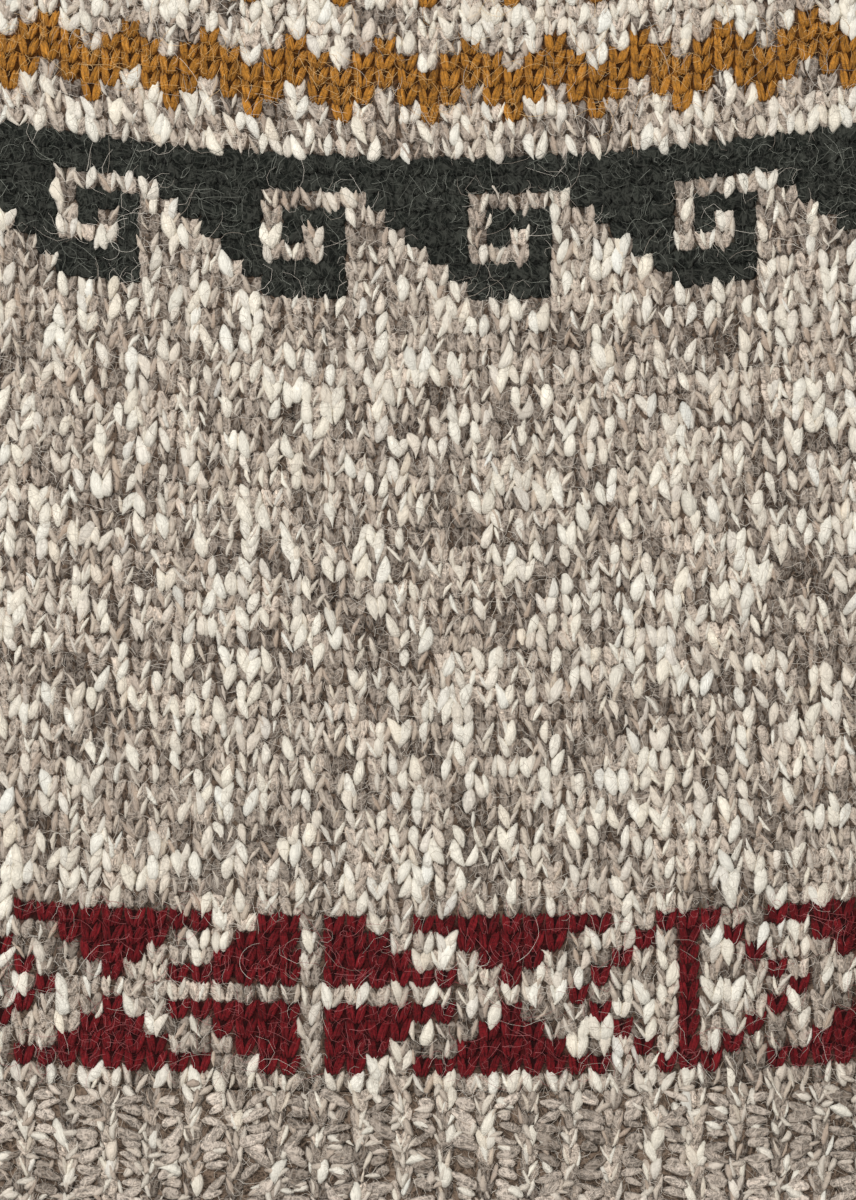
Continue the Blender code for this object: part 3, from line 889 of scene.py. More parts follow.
x, y = band_plan(u * BAND_TRIM, share, BACK_NECK["drop"], BACK_BAND_DROP)
face = lay(x, y, drop)
piece, area = cloth_wall("neckband_cloth_back", face, -1, tone, "rib_wool", **UNDER_WALL)
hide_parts("neckband_back")
SHEETS.append((piece, BACK_BAND_CUT, area, "laid", []))

# %% [markdown]
# ## A strand of wool
#
# A knit stitch shows as a V of two legs. Each leg is a short stretch of yarn that rises out of the
# stitch below and dives under the next, so it is a plump form with tapered ends. A swept curve for
# each would be heavy, and a texture would be flat. Here a leg is a spindle: a few rings of points
# round an axis, widest in the middle, all worked out in one go for thousands of legs.

# %% Spindles
ROUND_SECTIONS = {
    5: (-12.0, 55.0, 125.0, 192.0, 270.0),
    4: (0.0, 90.0, 180.0, 270.0),
}
SKEW, BOW = 0.30, 0.065
UNDER_SHADE = 0.28
STRAND_ROUND, STRAND_ALONG, STRAND_TWIST = 750.0, 260.0, 1.6


def spindle_faces(rings, sides):
    """Triangles of one spindle: first tip, rings, last tip."""
    faces = []
    last = 1 + rings * sides
    for k in range(sides):
        step = (k + 1) % sides
        faces.append((0, 1 + step, 1 + k))
        faces.append((last, last - sides + k, last - sides + step))
        for j in range(rings - 1):
            low = 1 + j * sides
            faces.append((low + k, low + step, low + sides + step))
            faces.append((low + k, low + sides + step, low + sides + k))
    return np.array(faces)


def surface_normals(surface, wale, row, outward):
    """Unit normals of a knitted surface at stitch places."""
    step = 0.05
    across = surface(wale + step, row) - surface(wale - step, row)
    along = surface(wale, row + step) - surface(wale, row - step)
    normal = np.cross(across, along) * outward
    return normal / np.linalg.norm(normal, axis=-1, keepdims=True)


def spindles(start, end, normal, width, depth, tone, rings, sides, fullness, dice, uneven=0.0, tip=0.70):
    """Points, faces, colours and strand coordinates of many spindles.

    uneven makes each swell nearer one end and bow a little sideways, as hand-spun wool does. tip is
    how light the ends are beside the middle. The darker ends are painted shade where a strand dives
    under its neighbours, with some dark ply there too, and the underside is darkened as painted shade.
    """
    count = len(start)
    share = (1.0 - np.cos(np.pi * np.arange(1, rings + 1) / (rings + 1))) / 2
    skew = np.exp(dice.normal(0.0, SKEW * uneven, (count, 1)))
    radius = np.sin(np.pi * share**skew) ** fullness
    bow = dice.normal(0.0, BOW * uneven, (count, 1)) * np.sin(np.pi * share)
    angle = np.radians(ROUND_SECTIONS[sides])
    along = end - start
    length = np.linalg.norm(along, axis=1)[:, None]
    axis = along / length
    side = np.cross(axis, normal)
    side = side / np.linalg.norm(side, axis=1, keepdims=True)
    lift = np.cross(side, axis)
    ring = start[:, None, None] + along[:, None, None] * share[:, None, None]
    aside = width[:, None, None] / 2 * radius[..., None] * np.cos(angle) + (length * bow)[..., None]
    ring = ring + side[:, None, None] * aside[..., None]
    raised = depth[:, None, None] / 2 * radius[..., None] * np.sin(angle)
    ring = ring + lift[:, None, None] * raised[..., None]
    points = np.concatenate((start[:, None], ring.reshape(count, -1, 3), end[:, None]), axis=1)
    size = points.shape[1]
    faces = spindle_faces(rings, sides)[None] + (np.arange(count) * size)[:, None, None]
    turn = np.concatenate(([0.0], np.tile(np.cos(angle), rings), [0.0]))
    reach = np.concatenate(([0.0], np.repeat(share, sides), [1.0]))
    low = np.concatenate(([-0.3], np.tile(np.sin(angle), rings), [-0.3]))
    fade = np.concatenate(([0.0], np.repeat(np.sin(np.pi * share) ** fullness, sides), [0.0]))
    # Painted shade: the colour darkens towards the tips, where a strand dives under its neighbours, and on
    # its underside.
    shade = (tip + (1.0 - tip) * fade) * (1.0 - UNDER_SHADE * np.clip(-low, 0.0, 1.0))
    tones = tone[:, None] * shade[None, :, None]
    strand = np.empty((count, size, 3))
    strand[..., 0] = turn * width[:, None] * STRAND_ROUND
    strand[..., 1] = reach * length * STRAND_ALONG + turn * STRAND_TWIST
    strand[..., 2] = dice.uniform(0.0, 400.0, count)[:, None]
    return points, faces.reshape(-1, 3), tones, strand


# %% [markdown]
# ## Even, dyed stitches
#
# Mustard and red are smooth yarns, so their V's are crisp: two plump legs with dark gaps between
# the wales. Each leg is two plies lying side by side with a slight twist. The green wool has
# felted in washing: its legs are nearly flat and melt together, and a mat of fibres hides them.

# %% Legs of a stitch
LEG_FOOT = (0.10, -0.12)
LEG_HEAD = (0.37, 1.12)


def legs(wale, row, spread=1.0):
    """Ends of both legs of every stitch: wale and row of each foot and head, and the leg's hand."""
    hand = np.repeat(np.array((-1.0, 1.0)), len(wale))
    wale = np.tile(wale, 2).astype(float)
    row = np.tile(row, 2).astype(float)
    foot = (wale + hand * LEG_FOOT[0] * spread, row + LEG_FOOT[1])
    head = (wale + hand * LEG_HEAD[0] * spread, row + LEG_HEAD[1])
    return foot, head, hand


def strands_on(surface, outward, foot, head, sink_foot, sink_head, **shape):
    """Spindles between two places on a knitted surface, sunk below its face at both ends."""
    start = surface(*foot)
    end = surface(*head)
    normal = surface_normals(surface, (foot[0] + head[0]) / 2, (foot[1] + head[1]) / 2, outward)
    start = start - normal * np.reshape(sink_foot, (-1, 1))
    end = end - normal * np.reshape(sink_head, (-1, 1))
    return spindles(start, end, normal, **shape)


def join(parts):
    """Several sets of spindles as one set of arrays."""
    points, faces, tones, strands = [], [], [], []
    shift = 0
    for part_points, part_faces, part_tones, part_strands in parts:
        flat = part_points.reshape(-1, 3)
        points.append(flat)
        faces.append(part_faces + shift)
        tones.append(part_tones.reshape(-1, 3))
        strands.append(part_strands.reshape(-1, 3))
        shift += len(flat)
    return tuple(np.concatenate(group) for group in (points, faces, tones, strands))


DYED_SHAPE = {
    MUSTARD_YARN: {"width": 0.0034, "depth": 0.0030, "fullness": 0.50, "sink": 0.0009},
    RED_YARN: {"width": 0.0032, "depth": 0.0028, "fullness": 0.52, "sink": 0.0010},
    GREEN_YARN: {"width": 0.0056, "depth": 0.0011, "fullness": 0.25, "sink": 0.0008},
}
UNDER_THICKNESS = 0.0016
UNDER_SINK = 0.0008
PLY_SHARE = 0.62
PLY_ASIDE = 0.078
PLY_TWIST = 0.055
DYED_DIVE = 0.0006
LOOP = {"sink": 0.0019, "depth": 0.0014, "wales": 1.25}


def dyed_legs(surface, outward, wale, row, yarn, rings, sides, dice, plies=1, under=False):
    """Both legs of dyed stitches in one or two plies, and the loop behind each stitch, in painted shade."""
    shape = dict(DYED_SHAPE[yarn])
    if under:
        shape.update(depth=UNDER_THICKNESS, sink=UNDER_SINK)
    parts = []
    foot, head, hand = legs(wale, row)
    count = len(hand)
    jitter = dice.normal(0.0, 0.022, (4, count))
    leg_tone = DYED[yarn] * dice.normal(1.0, 0.10, (count, 1))
    swell = dice.normal(1.0, 0.07, count)
    for ply in range(plies):
        aside = (ply - (plies - 1) / 2) * 2 * PLY_ASIDE
        twist = PLY_TWIST * (plies - 1)
        start = (foot[0] + jitter[0] + aside - twist, foot[1] + jitter[1] * 2)
        end = (head[0] + jitter[2] + aside + twist, head[1] + jitter[3] * 2)
        share = 1.0 if plies == 1 else PLY_SHARE
        parts.append(strands_on(
            surface, outward, start, end, shape["sink"], shape["sink"] + DYED_DIVE,
            width=shape["width"] * share * swell, depth=np.full(count, shape["depth"]) * (0.5 + share / 2),
            tone=leg_tone * dice.normal(1.0, 0.07, (count, 1)),
            rings=rings, sides=sides, fullness=shape["fullness"], dice=dice,
        ))
    if plies > 1:
        wale, row = wale.astype(float), row.astype(float)
        # The loop sunk behind the legs is coloured with the painted shade of the gap, not the yarn's own
        # colour.
        parts.append(strands_on(
            surface, outward, (wale, row - 0.15), (wale, row + 1.15), LOOP["sink"], LOOP["sink"],
            width=np.full(len(wale), LOOP["wales"] * WALE), depth=np.full(len(wale), LOOP["depth"]),
            tone=np.broadcast_to(GROUND_SHADES[yarn], (len(wale), 3)), rings=2, sides=4, fullness=0.15, dice=dice,
        ))
    return join(parts)


# %% [markdown]
# ## Stitches of the front that the camera sees
#
# Only the middle of the front fills the picture, so its stitches get the finest meshes and the
# rest of the sweater gets lighter ones. First the list of stitches: every wale and row whose
# place is inside the seams and the neckline.

# %% Which stitches the front has
VIEW_MIDDLE = 0.2425
VIEW_SIZE = (0.2996, 0.420)
VIEW_MARGIN = 0.010
SEAM_CLEARANCE = 0.0020
MOST_WALES = 40
FRONT_ROWS, BACK_ROWS = (0, 96), (0, 98)


def body_stitches(neck, low_row, high_row):
    """Wales and rows of all stitches inside a body panel."""
    wale, row = np.meshgrid(np.arange(-MOST_WALES, MOST_WALES + 1), np.arange(low_row, high_row))
    wale, row = wale.ravel(), row.ravel()
    x, y = body_plan(wale, row + 0.5)
    inside = (side_room(x, y, neck) > SEAM_CLEARANCE) & (neck_room(x, y, neck) > SEAM_CLEARANCE)
    return wale[inside], row[inside]


def in_view(x, y):
    """Whether a plan place lies in the picture or just outside it."""
    wide = np.abs(x) < VIEW_SIZE[0] / 2 + VIEW_MARGIN
    return wide & (np.abs(y - VIEW_MIDDLE) < VIEW_SIZE[1] / 2 + VIEW_MARGIN)


front_wale, front_row = body_stitches(FRONT_NECK, *FRONT_ROWS)
front_yarn = yarn_of(front_wale, front_row)
front_near = in_view(*body_plan(front_wale, front_row + 0.5))
print(len(front_wale), "stitches in the front,", int(front_near.sum()), "of them in view")

# %% [markdown]
# ## Mustard, red and green stitches
#
# The mustard and red wools are smooth and firmly twisted, so each leg of a stitch shows two plies.
# The green wool is felted: its stitches have matted into one surface, and only low swellings tell
# them apart. One kind of spindle would do for all three, with fewer plies, less height and more
# width for the green. That keeps one function for all the bands.

# %% Dyed stitches of the front
dice = np.random.default_rng(12)
DYED_NAMES = {RED_YARN: "red", GREEN_YARN: "green", MUSTARD_YARN: "mustard"}
for yarn, word in DYED_NAMES.items():
    parts = []
    near_plies = 1 if yarn == GREEN_YARN else 2
    for near, rings, sides, plies in ((True, 5, 5, near_plies), (False, 2, 4, 1)):
        chosen = (front_yarn == yarn) & (front_near == near)
        wale, row = front_wale[chosen], front_row[chosen]
        parts.append(dyed_legs(front_surface, 1, wale, row, yarn, rings, sides, dice, plies))
    make_piece("front_stitches_" + word, *join(parts), word, word + "_wool")

# %% [markdown]
# ## Marled stitches
#
# The natural yarn's cream ply swells and thins, so one leg in four or five is a fat drop of cream and
# the others show only slim oatmeal slips of it on the fuzzy brown ply. Real yarn does this in slow
# waves. A smooth random field over the cloth does the same here, with some chance added for each leg,
# and a second field makes some areas darker than others.

# %% A random field for the yarn's thickness


def wavy_field(wale, row, dice, reach):
    """Smooth random values, about 0 with a spread of 1, over wales and rows."""
    total = np.zeros(len(wale))
    waves = 14
    for k in range(waves):
        way = dice.uniform(0.0, math.tau)
        speed = dice.uniform(0.5, 1.5) * math.tau / reach
        phase = dice.uniform(0.0, math.tau)
        total += np.sin(wale * math.cos(way) * speed + row * math.sin(way) * speed + phase)
    return total / math.sqrt(waves / 2)


# %% [markdown]
# ## The two plies of a marled leg
#
# A leg is a brown strand with grains of the cream ply on it: a fat drop, a slim slip, or both. Two
# long strands twisted together would be truer to the spinning, but their light and dark would come
# at even steps. So each grain is placed by itself. A small table sets drops and slips apart: a pair
# there is a size and how much the swell of the yarn adds to it, and lengths are in rows.

# %% Marled legs
WARMTH = np.array((1.0, 0.985, 0.965))
PALE_FROM_ROW = 54.0
DROP_FROM = 0.60
SLIP_CHANCE = {"with drop": 0.30, "alone": 0.80}
SLIP_ASIDE = 0.11
THICKEST = 0.0036
BROWN_WIDTH, BROWN_DEPTH, BROWN_SINK = 0.0042, 0.0018, 0.0011
BROWN_PLY = {"rings": 3, "sides": 5, "fullness": 0.32, "uneven": 1.0, "tip": 0.92}
# The head of a leg dives this much deeper than its foot.
DIVE = 0.0005
GRAINS = {
    "drop": {"width": (0.0040, 0.0012), "length": (1.30, 0.35), "sink": (0.0009, -0.0003),
             "extra": 0.0, "darkest": OATMEAL, "mesh": {"rings": 5, "sides": 5, "tip": 0.72}},
    "slip": {"width": (0.0016, 0.0013), "length": (0.95, 0.45), "sink": (0.0007, 0.0),
             "extra": 0.0006, "darkest": TAUPE, "mesh": {"rings": 3, "sides": 4, "tip": 0.82}},
}


def unsettled(foot, head, spread, amount, dice):
    """Ends of legs, each moved a little by chance."""
    jitter = dice.normal(0.0, amount, (4, len(foot[0])))
    foot = (foot[0] + jitter[0] * spread, foot[1] + jitter[1])
    return foot, (head[0] + jitter[2] * spread, head[1] + jitter[3])


def marl(surface, outward, wale, row, dice, spread=1.0, fat=0.0):
    """The plies of natural stitches: brown plies, and cream or oatmeal grains, as two sets of arrays.

    fat moves the share of legs that carry a full drop of cream.
    """
    foot, head, hand = legs(wale, row, spread)
    count = len(hand)
    thick = 0.25 * wavy_field(foot[0], foot[1], dice, 6.0) + 0.30 * wavy_field(foot[0], foot[1], dice, 2.4)
    thick = thick + dice.normal(0.0, 0.90, count) + fat
    pale = smooth_step((foot[1] - PALE_FROM_ROW) / 6.0)
    thick = thick + 0.25 * pale
    murk = 0.6 * wavy_field(foot[0], foot[1], dice, 7.0) + 0.8 * wavy_field(foot[0], foot[1], dice, 3.2)
    murk = murk - 0.8 * pale

    brown_foot, brown_head = unsettled(foot, head, spread, 0.06, dice)
    mix = np.clip(dice.normal(0.50, 0.22, count) - 0.30 * murk, 0.0, 1.2)[:, None]
    tone = UMBER + (TAUPE - UMBER) * mix
    brown = strands_on(
        surface, outward, brown_foot, brown_head, BROWN_SINK, BROWN_SINK + DIVE,
        width=BROWN_WIDTH * dice.normal(1.0, 0.12, count),
        depth=BROWN_DEPTH * dice.normal(1.0, 0.1, count),
        tone=tone, dice=dice, **BROWN_PLY,
    )

    grains = []
    drop = thick > DROP_FROM
    size = np.clip((thick - DROP_FROM) / 1.2, 0.0, 1.2)
    chance = np.where(drop, SLIP_CHANCE["with drop"], SLIP_CHANCE["alone"]) - 0.10 * murk
    slip = dice.uniform(0.0, 1.0, count) < chance

    for chosen, kind in ((drop, "drop"), (slip, "slip")):
        number = int(chosen.sum())
        swell = size[chosen] if kind == "drop" else dice.uniform(0.0, 1.0, number)
        grain = GRAINS[kind]
        width, length, sink = (grain[key][0] + grain[key][1] * swell for key in ("width", "length", "sink"))
        middle_w = (foot[0][chosen] + head[0][chosen]) / 2
        middle_r = (foot[1][chosen] + head[1][chosen]) / 2
        aside = dice.normal(0.0, 0.06, number)
        if kind == "slip":
            hand_of = np.where(dice.uniform(0, 1, number) < 0.5, 1.0, -1.0)
            aside = SLIP_ASIDE * hand_of + dice.normal(0.0, 0.06, number)
        middle_w = middle_w + aside * spread
        middle_r = middle_r + dice.normal(0.0, 0.16, number)
        lean = hand[chosen] * 0.17 + dice.normal(0.0, 0.085, number)
        start = (middle_w - lean * spread, middle_r - length / 2)
        end = (middle_w + lean * spread, middle_r + length / 2)
        light = np.clip(0.72 + swell * 0.3 + dice.normal(0.0, 0.20, number), 0.0, 1.0)[:, None]
        if kind == "slip":
            light = np.clip(dice.normal(0.42, 0.34, number) - 0.18 * murk[chosen], -0.15, 1.0)[:, None]
        tone = grain["darkest"] + (CREAM - grain["darkest"]) * light
        tone = tone * dice.normal(1.0, 0.05, (number, 1)) * WARMTH ** dice.normal(0.3, 0.9, (number, 1))
        grains.append(strands_on(
            surface, outward, start, end, sink, sink + DIVE,
            width=width * dice.normal(1.0, 0.08, number),
            depth=np.minimum(width, THICKEST) * 0.80 + grain["extra"],
            tone=tone, fullness=0.72, dice=dice, uneven=1.0, **grain["mesh"],
        ))
    return brown, join(grains)


# %% [markdown]
# ## The natural stitches that show most
#
# These cover most of the picture. One mesh for both plies would be simpler, but the two plies have
# different finishes, so each is a mesh of its own. The front is also cut into a lower and an upper
# half, which keeps every mesh small enough to open and edit. Beyond the picture a stitch is a pair
# of plain strands, light or dark, because nobody sees its plies from there.

# %% Natural stitches of the front
HALF_ROW = 34
near = (front_yarn == NATURAL_YARN) & front_near
halves = front_row[near] < HALF_ROW
for half, word in ((halves, "lower"), (~halves, "upper")):
    brown, grains = marl(front_surface, 1, front_wale[near][half], front_row[near][half], dice)
    make_piece("front_brown_ply_" + word, *brown, "taupe_ply", "marled_wool")
    make_piece("front_cream_ply_" + word, *grains, "cream_ply", "marled_wool")


PLAIN_DARK = UMBER + (TAUPE - UMBER) * 0.42


def plain_marl(surface, outward, wale, row, rings, sides, dice, thickness=0.0028, sink=0.0009, spread=1.0):
    """Lighter legs for natural stitches outside the picture, one strand each."""
    foot, head, hand = legs(wale, row, spread)
    count = len(hand)
    thick = 0.32 * wavy_field(foot[0], foot[1], dice, 6.0) + dice.normal(0.0, 0.95, count)
    level = np.clip((thick + 1.7) / 2.9, 0.0, 1.0)[:, None]
    dark = level < 0.5
    brown = PLAIN_DARK + (OATMEAL - PLAIN_DARK) * level * 2
    tone = np.where(dark, brown, OATMEAL + (CREAM - OATMEAL) * (level * 2 - 1))
    foot, head = unsettled(foot, head, spread, 0.04, dice)
    width = 0.0040 + 0.0006 * level[:, 0]
    return strands_on(
        surface, outward, foot, head, sink, sink + DIVE,
        width=width, depth=np.full(count, thickness), tone=tone,
        rings=rings, sides=sides, fullness=0.6, dice=dice,
    )


far = (front_yarn == NATURAL_YARN) & ~front_near
arrays = plain_marl(front_surface, 1, front_wale[far], front_row[far], 2, 4, dice)
make_piece("front_outer_stitches", *arrays, "cream_ply", "marled_wool")

# %% [markdown]
# ## The sleeves
#
# The sleeves carry the green and mustard bands on round the shoulders, as the rows of a yoke do.
# Their wales run along the arm. The underside keeps the same stitches in a flatter form, because
# it rests on the table.

# %% Stitches of the sleeves
SLEEVE_FIRST_ROW = int(math.ceil(CAP_ROWS[0] - SLEEVE_LENGTH / ROW))
SLEEVE_WALES = np.arange(-26, 26) + 0.5

for side_name, side in SIDES:
    wale, row = np.meshgrid(SLEEVE_WALES, np.arange(SLEEVE_FIRST_ROW, int(CAP_ROWS[1])))
    wale, row = wale.ravel(), row.ravel()
    room = sleeve_place(wale * WALE, sleeve_distance(row + 0.5), side)[1]
    wale, row = wale[room > SEAM_CLEARANCE], row[room > SEAM_CLEARANCE]
    yarn = yarn_of(np.floor(wale).astype(int), row, False)
    surface = sleeve_surface(side)
    for top in (True, False):
        layer = (wale > -1) == top
        rings, sides = (2, 4) if top else (1, 4)
        chosen = layer & (yarn == NATURAL_YARN)
        depth = {} if top else {"thickness": UNDER_THICKNESS, "sink": UNDER_SINK}
        arrays = plain_marl(surface, -side, wale[chosen], row[chosen], rings, sides, dice, **depth)
        word = "top" if top else "under"
        make_piece(f"sleeve_stitches_{word}_{side_name}", *arrays, "cream_ply", "marled_wool")
    for dyed in (GREEN_YARN, MUSTARD_YARN):
        parts = []
        for top in (True, False):
            chosen = (yarn == dyed) & ((wale > -1) == top)
            place = (wale[chosen], row[chosen])
            rings = 2 if top else 1
            parts.append(dyed_legs(surface, -side, *place, dyed, rings, 4, dice, under=not top))
        word = DYED_NAMES[dyed]
        make_piece(f"sleeve_stitches_{word}_{side_name}", *join(parts), word, word + "_wool")

# %% [markdown]
# ## The back
#
# The back of a hand-knit sweater repeats the front. It lies on the table, so its stitches are
# pressed flat and can be the lightest meshes of all: one ring of points each. Leaving them out
# would save more, but then the back would be a bare wall when the sweater is turned over.

# %% Stitches of the back
back_wale, back_row = body_stitches(BACK_NECK, *BACK_ROWS)
back_yarn = yarn_of(back_wale, back_row)
chosen = back_yarn == NATURAL_YARN
arrays = plain_marl(
    back_surface, -1, back_wale[chosen], back_row[chosen], 1, 4, dice, UNDER_THICKNESS, UNDER_SINK
)
make_piece("back_stitches", *arrays, "cream_ply", "marled_wool")
for yarn, word in DYED_NAMES.items():
    chosen = back_yarn == yarn
    arrays = dyed_legs(back_surface, -1, back_wale[chosen], back_row[chosen], yarn, 1, 4, dice, under=True)
    make_piece("back_stitches_" + word, *arrays, word, word + "_wool")

# %% [markdown]
# ## Rib stitches
#
# A rib column is a chain of V's, narrower than the body's because rib pulls in, and between two
# columns the backs of the loops show as short bumps lying across. Both are spindles again, turned
# the right way.

# %% Stitches of a rib
RIB_SPREAD = 0.52
RIB_DARK = UMBER + (TAUPE - UMBER) * 0.28
BUMP_PITCH = 0.66
GRAIN_DEPTH = 0.0018
GRAIN_SHARE = 0.34


def rib_bumps(surface, outward, column, row, dice, rings, sides, reach=0.28, depth=0.0020, sink=0.0005):
    """Purl bumps that lie across a knitted surface, each an uneven oval of fibrous wool."""
    count = len(column)
    lean = dice.normal(0.0, 0.30, count)
    long = reach * dice.normal(1.0, 0.18, count)
    column = column + dice.normal(0.0, 0.12 * reach, count)
    row = row + dice.normal(0.0, 0.12, count)
    murk = wavy_field(column * 1.5, row, dice, 7.0)
    level = np.clip(dice.normal(0.54, 0.16, count) - 0.26 * murk, 0.0, 1.1)[:, None]
    tone = RIB_DARK + (OATMEAL - RIB_DARK) * level
    start = (column - long, row - lean)
    end = (column + long, row + lean)
    return strands_on(
        surface, outward, start, end, sink, sink,
        width=0.0042 * dice.normal(1.0, 0.18, count), depth=np.full(count, depth), tone=tone,
        rings=rings, sides=sides, fullness=0.45, dice=dice, uneven=1.0, tip=0.88,
    )


def turned_grains(surface, outward, column, row, turn, half, sink, **shape):
    """Grains centred on places of the rib, each turned its own way."""
    across = half * np.cos(turn) / HEM_RIB
    along = half * np.sin(turn) / ROW
    start, end = (column - across, row - along), (column + across, row + along)
    return strands_on(surface, outward, start, end, sink, sink, **shape)


def bump_grains(surface, outward, column, row, dice):
    """Cream grains of the thick ply where it crosses a purl bump, at all angles."""
    chosen = dice.uniform(0.0, 1.0, len(column)) < GRAIN_SHARE
    column, row = column[chosen], row[chosen]
    count = len(column)
    swell = dice.gamma(2.0, 0.24, count)
    turn = dice.normal(0.0, 0.6, count)
    half = 0.0028 + 0.0012 * swell
    column = column + dice.normal(0.0, 0.10, count)
    row = row + dice.normal(0.0, 0.22, count)
    light = np.clip(0.1 + swell + dice.normal(0.0, 0.25, count), 0.0, 1.0)[:, None]
    return turned_grains(
        surface, outward, column, row, turn, half, 0.0,
        width=0.0027 + 0.0015 * swell, depth=np.full(count, GRAIN_DEPTH),
        tone=OATMEAL + (CREAM - OATMEAL) * light,
        rings=4, sides=4, fullness=0.7, dice=dice, uneven=1.0,
    )


def rib_slips(surface, outward, columns, rows, count, dice):
    """Small strands of the cream ply that stray over a rib at all angles and blur its columns."""
    column = dice.uniform(*columns, count)
    row = dice.uniform(*rows, count)
    turn = dice.uniform(0.0, math.tau, count)
    half = dice.uniform(0.0024, 0.0038, count)
    level = np.clip(dice.normal(0.30, 0.26, count), -0.2, 0.9)[:, None]
    return turned_grains(
        surface, outward, column, row, turn, half, 0.0003,
        width=dice.uniform(0.0018, 0.0032, count), depth=np.full(count, GRAIN_DEPTH),
        tone=TAUPE + (CREAM - TAUPE) * level,
        rings=3, sides=4, fullness=0.65, dice=dice, uneven=1.0,
    )


def grid_of(columns, rows):
    """All pairs of columns and rows, as two flat arrays."""
    column, row = np.meshgrid(columns, rows)
    return column.ravel().astype(float), row.ravel().astype(float)


def plain_rib(surface, outward, knit, purl, rows, dice, spread, under=False):
    """A rib in light meshes: V stitches on the knit columns and bumps on the purl columns."""
    flat = {"thickness": UNDER_THICKNESS, "sink": UNDER_SINK} if under else {}
    low = {"depth": UNDER_THICKNESS, "sink": UNDER_SINK} if under else {}
    rings = 1 if under else 2
    column, row = grid_of(knit, np.arange(rows[0], rows[1]))
    chains = plain_marl(surface, outward, column, row, rings, 4, dice, spread=spread, **flat)
    column, row = grid_of(purl, np.arange(rows[0] + 0.3, rows[1], BUMP_PITCH))
    return join([chains, rib_bumps(surface, outward, column, row, dice, rings, 4, reach=spread / 2, **low)])


# %% [markdown]
# ## The hem
#
# The hem is the one rib in the picture, and its wool is fuzzy and muddled, with grains of cream at
# all angles. So it gets everything: marled V columns, purl bumps, grains on the bumps and stray
# slips across both. Its underside, on the table, has plain V's and bumps only.

# %% Hem in rib
HEM_ROWS = (-11, 0)
HEM_KNIT = np.arange(-15, 17)
HEM_PURL = np.arange(-16, 17) + 0.5
HEM_FAT = -0.55
STRAY_SLIPS = 340
column, row = grid_of(HEM_KNIT, np.arange(*HEM_ROWS))
column_near = in_view(*hem_plan(HEM_RIB_MIDDLE + HEM_RIB * column, row))
brown, grains = marl(hem_surface, 1, column[column_near], row[column_near], dice, RIB_SPREAD, HEM_FAT)
far = ~column_near
chains = plain_marl(hem_surface, 1, column[far], row[far], 2, 4, dice, spread=RIB_SPREAD)
bump_rows = np.arange(HEM_ROWS[0] - 0.2, HEM_ROWS[1], BUMP_PITCH)
column, row = grid_of(HEM_PURL, bump_rows)
bumps = rib_bumps(hem_surface, 1, column, row, dice, 4, 5)
near = in_view(*hem_plan(HEM_RIB_MIDDLE + HEM_RIB * column, row))
bright = bump_grains(hem_surface, 1, column[near], row[near], dice)
columns = (column[near].min(), column[near].max())
slips = rib_slips(hem_surface, 1, columns, (HEM_ROWS[0] + 0.5, 0.4), STRAY_SLIPS, dice)
make_piece("hem_brown_ply", *join([brown, bumps]), "taupe_ply", "rib_wool")
make_piece("hem_stitches", *join([grains, chains, bright, slips]), "cream_ply", "rib_wool")


def hem_under(column, row):
    """Points on the underside of the back's hem rib."""
    x, y = hem_plan(HEM_RIB_MIDDLE + HEM_RIB * column, row)
    return lay(x, y, edge_drop(body_half(y) - np.abs(x)))


arrays = plain_rib(hem_under, -1, HEM_KNIT, HEM_PURL, HEM_ROWS, dice, RIB_SPREAD, True)
make_piece("hem_under_stitches", *arrays, "cream_ply", "rib_wool")

# %% [markdown]
# ## The cuffs
#
# A cuff is a folded tube of the same rib. Its columns are numbered from the seam, positive on the
# upper layer and negative on the lower one, so the same rib function can cover both layers. Making
# one layer and mirroring it would leave the same grains facing each other at the fold.

# %% Cuffs in rib
CUFF_ROWS_IN_RIB = (-10, 0)


def cuff_surface(side):
    """The cuff's face as a function of rib column, whole between knit columns, and row."""
    def place(column, row):
        distance = SLEEVE_LENGTH - ROW * row
        layer = sleeve_width(distance) - FOLD_RADIUS + FOLD_QUARTER
        points, room = sleeve_place(column * layer / CUFF_RIBS, distance, side)
        rise = RIB_RISE * (0.5 - 0.5 * np.cos(2.0 * math.pi * column)) * (column > 0)
        return points + rise[..., None] * np.array((0.0, 0.0, 1.0))
    return place


for side_name, side in SIDES:
    surface = cuff_surface(side)
    knit, purl = np.arange(0, CUFF_RIBS) + 0.5, np.arange(1, CUFF_RIBS)
    upper = plain_rib(surface, -side, knit, purl, CUFF_ROWS_IN_RIB, dice, RIB_SPREAD)
    knit, purl = np.arange(-CUFF_RIBS, 0) + 0.5, np.arange(1 - CUFF_RIBS, 1)
    lower = plain_rib(surface, -side, knit, purl, CUFF_ROWS_IN_RIB, dice, RIB_SPREAD, True)
    make_piece("cuff_stitches_" + side_name, *join([upper, lower]), "cream_ply", "rib_wool")

# %% [markdown]
# ## The neckband
#
# The neckband curves, and its columns point outward from the neck like the spokes of a fan. A
# straight rib bent by a Curve modifier would do that too, but here the rib function already asks
# for a surface, and a curved one is as easy to give as a straight one.

# %% Neckband in rib
NECK_SPREAD = 0.62


def band_back(height):
    """The back neckband's underside or its inner side, which shows through the neck."""
    def place(column, row):
        x, y = band_plan(column * 2.0 / NECK_RIBS, row / NECK_ROWS, BACK_NECK["drop"], BACK_BAND_DROP)
        return lay(x, y, height)
    return place


